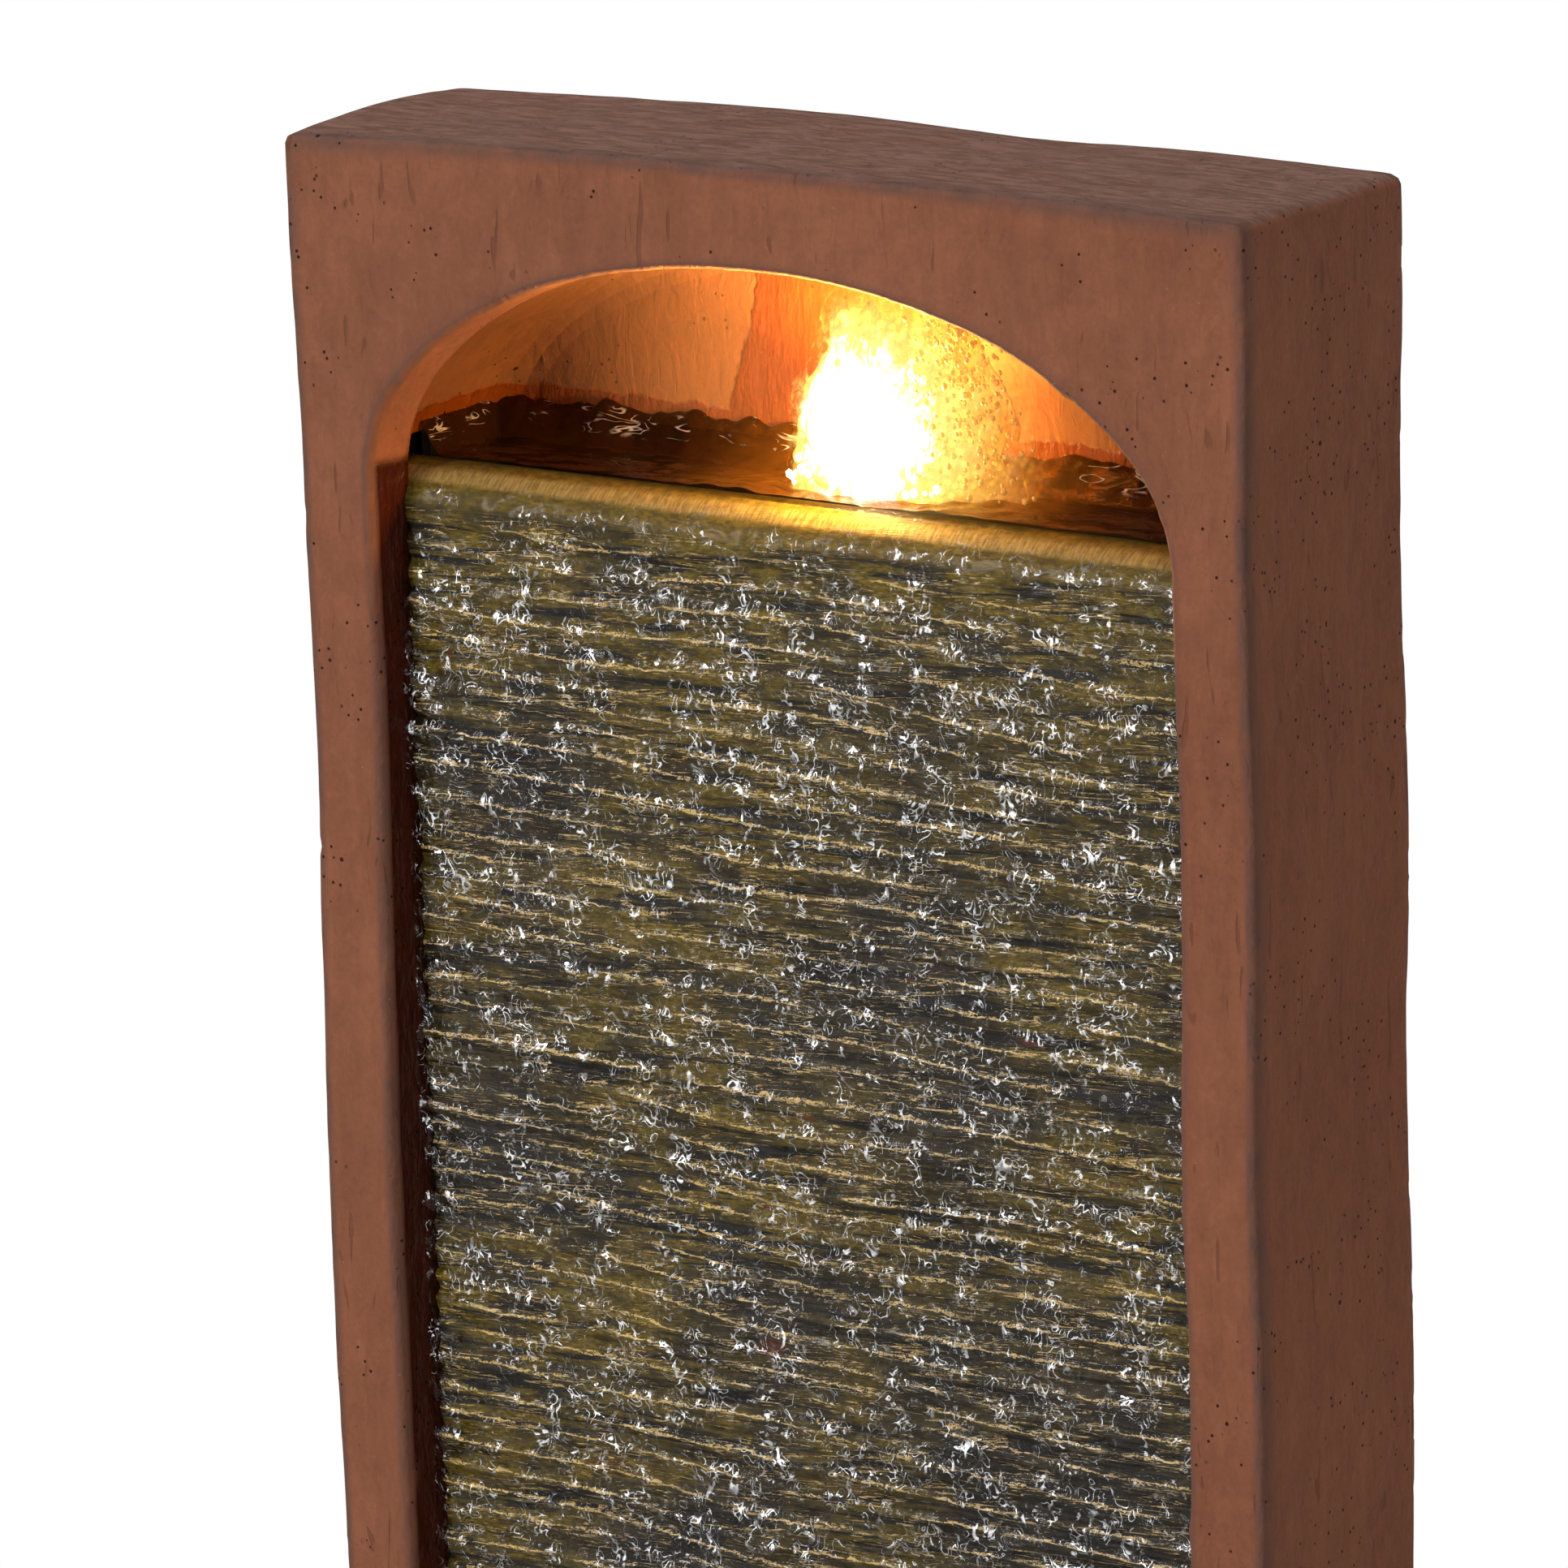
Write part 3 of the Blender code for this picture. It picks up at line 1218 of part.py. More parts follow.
def make_pump(finish):
    """The pump's body: a sealed motor block with an open volute, a rotor bore and an outlet."""
    end = PUMP_X + PUMP_LENGTH
    rings = [pump_ring(PUMP_X, 0.0, PUMP_CORNER_RADIUS)]
    for depth, inset in reversed(rounding(PUMP_END_ROUND, 3)):
        rings.append(pump_ring(end - depth, inset, PUMP_CORNER_RADIUS - inset))
    pump = smooth(loft("pump_body", rings, finish))
    top = PUMP_BOTTOM + PUMP_HEIGHT
    spigot = (
        (BARB_RADIUS + OUTLET_BOSS, top - OUTLET_BOSS),
        (BARB_RADIUS + OUTLET_BOSS, top + OUTLET_BOSS),
        (BARB_RADIUS, top + 2 * OUTLET_BOSS),
        (BARB_RADIUS, OUTLET_TOP - BARB_TAPER),
        (BARB_RADIUS - EDGE_BREAK, OUTLET_TOP),
    )
    outlet = (OUTLET_X, OUTLET_Y)
    combine(pump, turned("pump_outlet_add", spigot, finish, ROUND_MEDIUM, outlet), "UNION")
    axis_start = (PUMP_X - OVERCUT, PUMP_Y, PUMP_Z)
    volute_end = (PUMP_X + VOLUTE_DEPTH, PUMP_Y, PUMP_Z)
    bore(pump, "pump_volute_cutter", VOLUTE_RADIUS, axis_start, volute_end, ROUND_LARGE)
    rotor_end = PUMP_X + VOLUTE_DEPTH + ROTOR_LENGTH + ROTOR_CLEARANCE
    bore(
        pump,
        "pump_rotor_cutter",
        ROTOR_RADIUS + ROTOR_CLEARANCE,
        axis_start,
        (rotor_end, PUMP_Y, PUMP_Z),
        ROUND_MEDIUM,
    )
    seat_end = (rotor_end + SHAFT_SEAT, PUMP_Y, PUMP_Z)
    bore(pump, "pump_shaft_cutter", SHAFT_RADIUS + RUNNING, axis_start, seat_end)
    bore(
        pump,
        "pump_outlet_cutter",
        WATERWAY_RADIUS,
        (OUTLET_X, OUTLET_Y, PUMP_Z),
        (OUTLET_X, OUTLET_Y, OUTLET_TOP + OVERCUT),
    )
    return pump


def impeller_outline():
    """The hub and its swept blades as one outline round the axis."""
    points = []
    reach = IMPELLER_RADIUS - IMPELLER_HUB_RADIUS
    for blade in range(BLADE_COUNT):
        start = 2 * math.pi * blade / BLADE_COUNT
        for side in (-1, 1):
            shares = (0.0, 0.35, 0.7, 1.0) if side < 0 else (1.0, 0.7, 0.35, 0.0)
            for share in shares:
                radius = IMPELLER_HUB_RADIUS + reach * share
                half = math.asin(BLADE_THICKNESS / 2 / radius)
                angle = start + BLADE_SWEEP * share + side * half
                points.append((radius * math.cos(angle), radius * math.sin(angle)))
    return points


def make_impeller(finish):
    """The impeller: swept blades on a disc, with the magnet rotor behind it."""
    disc_face = VOLUTE_DEPTH - IMPELLER_DISC - ROTOR_CLEARANCE
    outline = impeller_outline()
    rings = [
        [(x, y, z) for x, y in outline]
        for z in (disc_face - BLADE_WIDTH, disc_face + IMPELLER_DISC / 2)
    ]
    impeller = loft("impeller", rings, finish)
    rotor = (
        (IMPELLER_RADIUS, disc_face),
        (IMPELLER_RADIUS, disc_face + IMPELLER_DISC),
        (ROTOR_RADIUS, disc_face + IMPELLER_DISC),
        (ROTOR_RADIUS, VOLUTE_DEPTH + ROTOR_LENGTH - EDGE_BREAK),
        (ROTOR_RADIUS - EDGE_BREAK, VOLUTE_DEPTH + ROTOR_LENGTH),
    )
    helper = turned("impeller_rotor_add", rotor, finish)
    cutter = turned(
        "impeller_bore_cutter",
        (
            (SHAFT_RADIUS + RUNNING, -OVERCUT),
            (SHAFT_RADIUS + RUNNING, VOLUTE_DEPTH + ROTOR_LENGTH + OVERCUT),
        ),
        finish,
        ROUND_SMALL,
    )
    place = (PUMP_X, PUMP_Y, PUMP_Z)
    turn = Vector((1.0, 0.0, 0.0)).to_track_quat("Z", "Y").to_euler()
    for obj in (impeller, helper, cutter):
        obj.location = place
        obj.rotation_euler = turn
    combine(impeller, helper, "UNION")
    combine(impeller, cutter)
    return impeller


def make_shaft(finish):
    """The fixed ceramic shaft from the motor block's seat to the volute plate's hub."""
    start = PUMP_X - PLATE_THICKNESS
    length = PLATE_THICKNESS + VOLUTE_DEPTH + ROTOR_LENGTH + ROTOR_CLEARANCE + SHAFT_SEAT - GAP
    profile = (
        (SHAFT_RADIUS, 0.0),
        (SHAFT_RADIUS, length),
    )
    origin = (start, PUMP_Y, PUMP_Z)
    turned_lying("impeller_shaft", profile, finish, origin, (1.0, 0.0, 0.0), ROUND_SMALL)


def make_volute_plate(finish):
    """The plate that closes the volute, with the intake eye and the shaft's hub on arms."""
    near, far = PUMP_X - GAP - PLATE_THICKNESS, PUMP_X - GAP
    inset = STRAINER_WALL
    rings = [pump_ring(x, inset, PUMP_CORNER_RADIUS - inset) for x in (near, far)]
    plate = loft("volute_plate", rings, finish)
    gap_angle = 2 * math.pi / INTAKE_ARMS
    for arm in range(INTAKE_ARMS):
        start = arm * gap_angle + INTAKE_ARM_ANGLE / 2
        end = (arm + 1) * gap_angle - INTAKE_ARM_ANGLE / 2
        steps = [start + (end - start) * i / INTAKE_STEPS for i in range(INTAKE_STEPS + 1)]
        outline = [(INTAKE_RADIUS, angle) for angle in steps]
        outline += [(INTAKE_HUB_RADIUS, angle) for angle in reversed(steps)]
        rings = [
            [
                (x, PUMP_Y + radius * math.cos(angle), PUMP_Z + radius * math.sin(angle))
                for radius, angle in outline
            ]
            for x in (near - OVERCUT, far + OVERCUT)
        ]
        combine(plate, loft(f"intake_cutter_{arm}", rings, finish))
    start = (near - OVERCUT, PUMP_Y, PUMP_Z)
    end = (far + OVERCUT, PUMP_Y, PUMP_Z)
    return bore(plate, "plate_shaft_bore", SHAFT_RADIUS + RUNNING, start, end)


def make_strainer(finish):
    """The strainer: a slotted cap over the volute plate, with a hole for the dial's stub."""
    wall = STRAINER_WALL
    face = STRAINER_FACE
    radius = PUMP_CORNER_RADIUS
    rings = [
        pump_ring(face + wall, wall, radius - wall),
        pump_ring(STRAINER_BACK, wall, radius - wall),
        pump_ring(STRAINER_BACK, 0.0, radius),
    ]
    for depth, inset in reversed(rounding(PUMP_END_ROUND / 2, 2)):
        rings.append(pump_ring(face + depth, inset, radius - inset))
    strainer = smooth(loft("pump_strainer", rings, finish))
    low, high = PUMP_BOTTOM + radius, PUMP_BOTTOM + PUMP_HEIGHT - radius
    face_slots = []
    for side in (-1, 1):
        for i in range(SLOT_COUNT - 1):
            middle = PUMP_Y + side * (DIAL_RADIUS + SLOT_WIDTH + SLOT_PITCH * i)
            face_slots.append(
                (
                    (face - OVERCUT, middle - SLOT_WIDTH / 2, low),
                    (face + wall + OVERCUT / 2, middle + SLOT_WIDTH / 2, high),
                )
            )
    combine(strainer, cutter_boxes("strainer_face_cutter", face_slots, finish))
    side_slots = []
    for i in range(SLOT_COUNT):
        middle = (face + STRAINER_BACK) / 2 + SLOT_PITCH * (i - (SLOT_COUNT - 1) / 2)
        side_slots.append(
            (
                (middle - SLOT_WIDTH / 2, PUMP_Y - PUMP_WIDTH, low),
                (middle + SLOT_WIDTH / 2, PUMP_Y + PUMP_WIDTH, high),
            )
        )
    combine(strainer, cutter_boxes("strainer_side_cutter", side_slots, finish))
    start = (face - OVERCUT, PUMP_Y, PUMP_Z)
    end = (face + wall + OVERCUT / 2, PUMP_Y, PUMP_Z)
    return bore(strainer, "strainer_stub_bore", DIAL_STUB_RADIUS + RUNNING, start, end)


def make_dial(finish):
    """The flow dial on the strainer's face, with a tab to turn it by."""
    origin = (STRAINER_FACE, PUMP_Y, PUMP_Z)
    direction = (-1.0, 0.0, 0.0)
    profile = (
        (DIAL_STUB_RADIUS, -STRAINER_WALL),
        (DIAL_STUB_RADIUS, GAP),
        (DIAL_RADIUS, GAP),
        (DIAL_RADIUS, DIAL_THICKNESS * 0.7),
        (DIAL_RADIUS - EDGE_BREAK, DIAL_THICKNESS),
    )
    dial = turned_lying("flow_dial", profile, finish, origin, direction)
    tab = box(
        "dial_tab_add",
        (-DIAL_TAB_HALF, -DIAL_RADIUS + EDGE_BREAK, DIAL_THICKNESS / 2),
        (DIAL_TAB_HALF, DIAL_RADIUS - EDGE_BREAK, DIAL_THICKNESS + DIAL_TAB),
        finish,
        bevel=FINE_BREAK,
    )
    tab.rotation_euler = dial.rotation_euler
    tab.location = origin
    return combine(dial, tab, "UNION")


def make_cups(finish):
    """Suction cups between the pump and the sump's floor."""
    low = POOL_FLOOR + GAP
    profile = (
        (CUP_RADIUS, low),
        (CUP_RADIUS, low + CUP_RIM),
        (CUP_NECK_RADIUS + CUP_FLARE, low + CUP_HEIGHT * 0.55),
        (CUP_NECK_RADIUS, low + CUP_HEIGHT * 0.7),
        (CUP_NECK_RADIUS, low + CUP_HEIGHT),
    )
    number = 0
    for x in (PUMP_X + CUP_INSET, PUMP_X + PUMP_LENGTH - CUP_INSET):
        for y in (-1, 1):
            number += 1
            place = (x, PUMP_Y + y * (PUMP_WIDTH / 2 - CUP_INSET))
            turned(f"pump_cup_{number}", profile, finish, ROUND_SMALL, place)


def ease(share):
    """A smooth step from 0 to 1."""
    share = min(max(share, 0.0), 1.0)
    return share * share * (3 - 2 * share)


def hose_point(z):
    """The hose's middle at a height: from the pump to the panel's back and on to the inlet."""
    start, end = hose_ends()
    run_y = PANEL_BACK + HOSE_STAND_OFF
    leave = ease((z - start - HOSE_END_STRAIGHT) / HOSE_BEND)
    arrive = ease((z - (end - HOSE_END_STRAIGHT - HOSE_BEND)) / HOSE_BEND)
    x = OUTLET_X + (SPOUT_X - OUTLET_X) * leave
    y = OUTLET_Y + (run_y - OUTLET_Y) * leave + (SPOUT_Y - run_y) * arrive
    return Vector((x, y, z))


def hose_ends():
    """The hose's lower and upper ends, pushed over the two barbs."""
    return OUTLET_TOP - OUTLET_LENGTH + HOSE_FOOT_MARGIN, FITTING_BARB_TOP - HOSE_HEAD_MARGIN


def hose_heights():
    """Where the hose's rings lie: close in its bends, far apart on its straight run."""
    start, end = hose_ends()
    low = [start]
    high = [end]
    for i in range(HOSE_RINGS + 1):
        reach = HOSE_END_STRAIGHT + HOSE_BEND * i / HOSE_RINGS
        low.append(start + reach)
        high.append(end - reach)
    return low + high[::-1]


def hose_ring(z, radius):
    """A ring of the hose across its route."""
    middle = hose_point(z)
    tangent = (hose_point(z + HOSE_PROBE) - hose_point(z - HOSE_PROBE)).normalized()
    side = Vector((0.0, 1.0, 0.0)).cross(tangent).normalized()
    other = tangent.cross(side)
    ring = []
    for i in range(HOSE_SIDES):
        angle = 2 * math.pi * i / HOSE_SIDES
        ring.append(middle + side * radius * math.cos(angle) + other * radius * math.sin(angle))
    return ring


def make_hose(finish):
    """The riser hose, a tube with its bore, from the pump's outlet to the inlet."""
    heights = hose_heights()
    bore_radius = (BARB_RADIUS + HOSE_BORE_CLEARANCE) / math.cos(math.pi / HOSE_SIDES)
    rings = [hose_ring(z, HOSE_RADIUS) for z in heights]
    rings += [hose_ring(z, bore_radius) for z in reversed(heights)]
    return smooth(loft("riser_hose", rings, finish, closed=True))


def make_clamps(finish):
    """Screw clamps round the hose's two ends."""
    start, end = hose_ends()
    inner = HOSE_RADIUS + GAP
    outer = inner + CLAMP_THICKNESS
    for i, z in enumerate((start + CLAMP_SETBACK, end - CLAMP_SETBACK - CLAMP_WIDTH)):
        middle = hose_point(z)
        profile = ((inner, z + CLAMP_WIDTH), (outer, z + CLAMP_WIDTH), (outer, z), (inner, z))
        place = (middle.x, middle.y)
        clamp = turned(f"hose_clamp_{i + 1}", profile, finish, ROUND_MEDIUM, place, hollow=True)
        low_y = middle.y + outer - CLAMP_THICKNESS / 2
        low = (middle.x - CLAMP_SCREW, low_y, z + EDGE_BREAK)
        high = (middle.x + CLAMP_SCREW, low_y + CLAMP_SCREW / 2, z + CLAMP_WIDTH - EDGE_BREAK)
        lug = box(f"clamp_screw_add_{i}", low, high, finish, bevel=EDGE_BREAK)
        combine(clamp, lug, "UNION")


def make_saddles(finish):
    """Saddles that hold the hose against the panel's back."""
    start, end = hose_ends()
    inner = HOSE_RADIUS + GAP
    outer = inner + SADDLE_WALL
    low = start + HOSE_END_STRAIGHT + HOSE_BEND
    high = end - HOSE_END_STRAIGHT - HOSE_BEND
    for i, z in enumerate((low + SADDLE_HEIGHT, high - 2 * SADDLE_HEIGHT)):
        middle = hose_point(z)
        profile = (
            (inner, z + SADDLE_HEIGHT),
            (outer, z + SADDLE_HEIGHT),
            (outer, z),
            (inner, z),
        )
        place = (middle.x, middle.y)
        name = f"hose_saddle_{i + 1}"
        saddle = turned(name, profile, finish, ROUND_MEDIUM, place, hollow=True)
        foot = box(
            f"saddle_foot_add_{i}",
            (middle.x - 2 * outer, PANEL_BACK + GAP, z),
            (middle.x + 2 * outer, PANEL_BACK + GAP + SADDLE_WALL, z + SADDLE_HEIGHT),
            finish,
        )
        combine(saddle, foot, "UNION")


def main():
    """Builds every piece."""
    clear_scene()
    terracotta = material("cast_terracotta", (0.254, 0.098, 0.058), 0.82)
    niche_cast = material("niche_cast", (0.205, 0.085, 0.045), 0.7)
    slate = material("cascade_slate", (0.075, 0.052, 0.024), 0.45)
    dark_resin = material("trough_resin", (0.03, 0.026, 0.022), 0.5)
    rubber = material("rubber", (0.018, 0.018, 0.018), 0.75)
    steel = material("stainless_steel", (0.55, 0.55, 0.54), 0.35, 1.0)
    black = material("black_plastic", (0.02, 0.02, 0.022), 0.42)
    cover_finish = material("cover_plastic", (0.06, 0.034, 0.026), 0.6)
    hose_finish = material("hose_vinyl", (0.035, 0.037, 0.036), 0.35)
    clear = material("lens_clear", (0.9, 0.86, 0.74), 0.08, 0.0, 0.8)
    board = material("light_board", (0.85, 0.8, 0.62), 0.4)
    ceramic = material("shaft_ceramic", (0.8, 0.79, 0.76), 0.25)

    make_base(terracotta)
    make_feet(rubber)
    make_drain_plug(rubber)
    make_frame(terracotta)
    make_frame_bolts(steel)
    make_panel(slate)
    make_panel_clips(steel)
    make_trough(dark_resin)
    make_trough_brackets(steel)
    make_niche(niche_cast)
    light_foot = make_spout(steel, rubber, black)
    make_ring_light(light_foot, steel, clear, board)
    make_cover(cover_finish)
    make_cover_screws(steel)
    make_grommet(rubber)
    make_door(cover_finish)
    make_hinges(steel)
    make_knob(black)
    make_catch(black, steel)
    make_pump(black)
    make_impeller(black)
    make_shaft(ceramic)
    make_volute_plate(black)
    make_strainer(black)
    make_dial(black)
    make_cups(rubber)
    make_hose(hose_finish)
    make_clamps(steel)
    make_saddles(black)


main()
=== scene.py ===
"""The looks of an outdoor waterfall fountain, dressed over its packed construction.

The cast arch frame and the layered cascade panel get fine meshes of their own. Water is made as
surfaces: a rippled film over the ledges, the well behind the lip, the lit spout and the pool.
Lengths are in metres.
"""

from __future__ import annotations

import itertools
import json
import logging
import math
import random
from dataclasses import dataclass, field
from enum import Enum
from typing import Iterable, Optional, Sequence, Union

import bmesh
import bpy
import numpy as np
from mathutils import Matrix, Vector

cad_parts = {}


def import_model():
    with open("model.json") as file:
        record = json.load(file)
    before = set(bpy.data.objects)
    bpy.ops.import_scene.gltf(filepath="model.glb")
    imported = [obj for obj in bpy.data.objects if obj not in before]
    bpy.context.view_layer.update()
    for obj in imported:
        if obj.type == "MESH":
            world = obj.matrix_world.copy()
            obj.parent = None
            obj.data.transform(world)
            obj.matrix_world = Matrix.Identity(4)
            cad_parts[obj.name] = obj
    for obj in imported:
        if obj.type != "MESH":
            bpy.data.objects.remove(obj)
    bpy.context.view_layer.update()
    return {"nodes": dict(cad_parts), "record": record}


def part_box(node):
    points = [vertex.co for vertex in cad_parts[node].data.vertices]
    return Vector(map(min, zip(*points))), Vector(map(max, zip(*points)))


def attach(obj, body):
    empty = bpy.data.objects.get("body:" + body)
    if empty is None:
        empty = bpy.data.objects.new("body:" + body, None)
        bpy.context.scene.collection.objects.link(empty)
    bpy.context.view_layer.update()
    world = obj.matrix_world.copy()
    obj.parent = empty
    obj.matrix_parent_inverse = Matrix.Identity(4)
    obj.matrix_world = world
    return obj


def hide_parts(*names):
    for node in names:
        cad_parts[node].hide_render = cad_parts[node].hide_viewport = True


LOG = logging.getLogger("fountain")

Pair = tuple[float, float]
Triple = tuple[float, float, float]
# What a noise is made with: its scale, detail, roughness, distortion and shift.
Recipe = tuple[Union[float, Triple], ...]
# The name or index of a node's input or output.
Key = Union[int, str]
# What a node's input takes: a number, a colour or the output of another node.
Value = Union[float, Sequence[float], "Signal"]

NONE: Triple = (0.0, 0.0, 0.0)
FULL: Triple = (1.0, 1.0, 1.0)
BLACK, WHITE = NONE, FULL
COLOUR_SOCKETS = ("Color", "Tone", "Stain")
QUARTER = math.pi / 2


class Slot(Enum):
    """The record's material slots."""

    CAST = "cast_terracotta"
    NICHE = "niche_cast"
    SLATE = "cascade_slate"
    RESIN = "trough_resin"
    RUBBER = "rubber"
    STEEL = "stainless_steel"
    BLACK = "black_plastic"
    COVER = "cover_plastic"
    HOSE = "hose_vinyl"
    LENS = "lens_clear"
    BOARD = "light_board"
    CERAMIC = "shaft_ceramic"


class Signal:
    """An output of a node. Signals add up and multiply as numbers do."""

    def __init__(self, sheet: Sheet, socket: bpy.types.NodeSocket) -> None:
        """Keeps the output and the sheet that its nodes go to."""
        self.sheet = sheet
        self.socket = socket

    def __add__(self, other: Value) -> Signal:
        """The sum."""
        return self.sheet.math("ADD", self, other)

    def __sub__(self, other: Value) -> Signal:
        """The difference."""
        return self.sheet.math("SUBTRACT", self, other)

    def __mul__(self, other: Value) -> Signal:
        """The product."""
        return self.sheet.math("MULTIPLY", self, other)

    def __or__(self, other: Value) -> Signal:
        """The larger of the two, which joins two masks."""
        return self.sheet.math("MAXIMUM", self, other)

    def __abs__(self) -> Signal:
        """The signal without its sign."""
        return self.sheet.math("ABSOLUTE", self)

    def held(self) -> Signal:
        """The same sum, held between 0 and 1."""
        self.socket.node.use_clamp = True
        return self

    def span(self, low: float, high: float, start: float = 0.0, end: float = 1.0) -> Signal:
        """A smooth step.

        Args:
            low: where it begins.
            high: where it ends.
            start: its value up to the beginning.
            end: its value from the end on.

        Returns:
            The step.
        """
        step = {"Value": self, "From Min": low, "From Max": high, "To Min": start, "To Max": end}
        return self.sheet.signal("MapRange", step, interpolation_type="SMOOTHSTEP")

    def fall(self, low: float, high: float) -> Signal:
        """A smooth step down, from 1 to 0."""
        return self.span(low, high, 1.0, 0.0)

    def stroke(self, thin: float, thick: float) -> Signal:
        """Thin winding lines, where a noise passes through its middle."""
        return abs(self - 0.5).fall(thin, thick)

    def mix(self, under: Value, over: Value) -> Signal:
        """Two colours, mixed by this share of the second one."""
        inputs = {0: self, 6: under, 7: over}
        return self.sheet.signal("Mix", inputs, 2, data_type="RGBA", blend_type="MIX")

    def axes(self) -> tuple[Signal, ...]:
        """The three numbers of a vector."""
        node = self.sheet.feed(self.sheet.add("SeparateXYZ"), {0: self})
        return tuple(Signal(self.sheet, output) for output in node.outputs)

    def mapped(self, scale: Triple = FULL, turn: Triple = NONE, shift: Triple = NONE) -> Signal:
        """Coordinates stretched, turned and shifted."""
        inputs = {"Vector": self, "Scale": scale, "Rotation": turn, "Location": shift}
        return self.sheet.signal("Mapping", inputs)

    def noise(
        self,
        scale: Union[float, Triple],
        detail: float = 3.0,
        roughness: float = 0.55,
        distortion: float = 0.0,
        shift: Triple = NONE,
    ) -> Signal:
        """Smooth noise from 0 to 1.

        Args:
            scale: how fine it is, all round or along each axis.
            detail: its layers.
            roughness: how strong the finer layers are.
            distortion: how much it winds.
            shift: where it starts, for a scale along each axis.

        Returns:
            The noise.
        """
        stretched = isinstance(scale, tuple)
        vector = self.mapped(scale, shift=shift) if stretched else self
        inputs = {
            "Vector": vector,
            "Scale": 1.0 if stretched else scale,
            "Detail": detail,
            "Roughness": roughness,
            "Distortion": distortion,
        }
        return self.sheet.signal("TexNoise", inputs)

    def cells(self, scale: float) -> Signal:
        """The distance to the middle of the nearest cell."""
        return self.sheet.signal("TexVoronoi", {"Vector": self, "Scale": scale}, "Distance")

    def away(self, point: Triple) -> Signal:
        """The distance from a point."""
        return self.sheet.signal("VectorMath", {0: self, 1: point}, "Value", operation="DISTANCE")

    def bump(
        self, distance: float, strength: float = 1.0, under: Optional[Signal] = None
    ) -> Signal:
        """A normal bent by this height.

        Args:
            distance: how far the height reaches.
            strength: how much of it shows.
            under: the normal that it bends, where that isn't the surface's own.

        Returns:
            The normal.
        """
        inputs: dict[Key, Value] = {"Height": self, "Distance": distance, "Strength": strength}
        if under is not None:
            inputs["Normal"] = under
        return self.sheet.signal("Bump", inputs)


class Sheet:
    """Adds nodes to one node tree and wires them."""

    def __init__(self, tree: bpy.types.NodeTree) -> None:
        """Keeps the tree that the nodes go to, and its Principled shader where it has one."""
        self.tree = tree
        self.shader = tree.nodes.get("Principled BSDF")

    def add(self, kind: str, **settings: object) -> bpy.types.Node:
        """Adds one node.

        Args:
            kind: the node's type, without its common beginning.
            settings: attributes of the node, by name.

        Returns:
            The new node.
        """
        node = self.tree.nodes.new(f"ShaderNode{kind}")
        for name, value in settings.items():
            setattr(node, name, value)
        return node

    def feed(self, node: bpy.types.Node, inputs: dict[Key, Value]) -> bpy.types.Node:
        """Links or sets a node's inputs.

        Args:
            node: the node.
            inputs: signals, numbers and colours, by the input's name or index.

        Returns:
            The same node.
        """
        for key, value in inputs.items():
            socket = node.inputs[key]
            if isinstance(value, Signal):
                self.tree.links.new(value.socket, socket)
            else:
                socket.default_value = (*value, 1.0) if socket.type == "RGBA" else value
        return node

    def signal(
        self, kind: str, inputs: dict[Key, Value], output: Key = 0, **settings: object
    ) -> Signal:
        """Adds a node, feeds it and reads one of its outputs.

        Args:
            kind: the node's type, without its common beginning.
            inputs: what goes to its inputs.
            output: the name or index of the output.
            settings: attributes of the node, by name.

        Returns:
            The output.
        """
        return Signal(self, self.feed(self.add(kind, **settings), inputs).outputs[output])

    def math(self, operation: str, first: Value, second: Value = 0.0) -> Signal:
        """One sum on two numbers."""
        return self.signal("Math", {0: first, 1: second}, operation=operation)

    def place(self) -> Signal:
        """Object coordinates in metres."""
        return self.signal("TexCoord", {}, "Object")

    def facing(self) -> Signal:
        """The surface's normal."""
        return self.signal("NewGeometry", {}, "Normal")

    def attribute(self, name: str) -> Signal:
        """A named attribute of the mesh as one number."""
        return self.signal("Attribute", {}, "Fac", attribute_name=name)

    def tint(self, colour: Value, by: Value) -> Signal:
        """A colour multiplied by a shade or by another colour."""
        inputs = {0: 1.0, 6: colour, 7: by}
        return self.signal("Mix", inputs, 2, data_type="RGBA", blend_type="MULTIPLY")

    def group(self, tree: bpy.types.NodeTree, inputs: dict[Key, Value]) -> dict[str, Signal]:
        """Places a shared group and feeds it.

        Args:
            tree: the group.
            inputs: what goes to its inputs, by name.

        Returns:
            Its outputs by name.
        """
        node = self.feed(self.add("Group", node_tree=tree), inputs)
        return {output.name: Signal(self, output) for output in node.outputs}

    def dress(self, inputs: dict[Key, Value]) -> None:
        """Feeds the Principled shader."""
        self.feed(self.shader, inputs)

    def blend(self, factor: Value, under: bpy.types.Node, over: bpy.types.Node) -> None:
        """Shows one shader over another.

        Args:
            factor: the share of the upper one.
            under: the lower shader.
            over: the upper shader.
        """
        pair = {1: Signal(self, under.outputs[0]), 2: Signal(self, over.outputs[0])}
        mixed = self.signal("MixShader", {0: factor, **pair})
        ends = (node for node in self.tree.nodes if node.bl_idname.startswith("ShaderNodeOutput"))
        self.feed(next(ends), {"Surface": mixed})


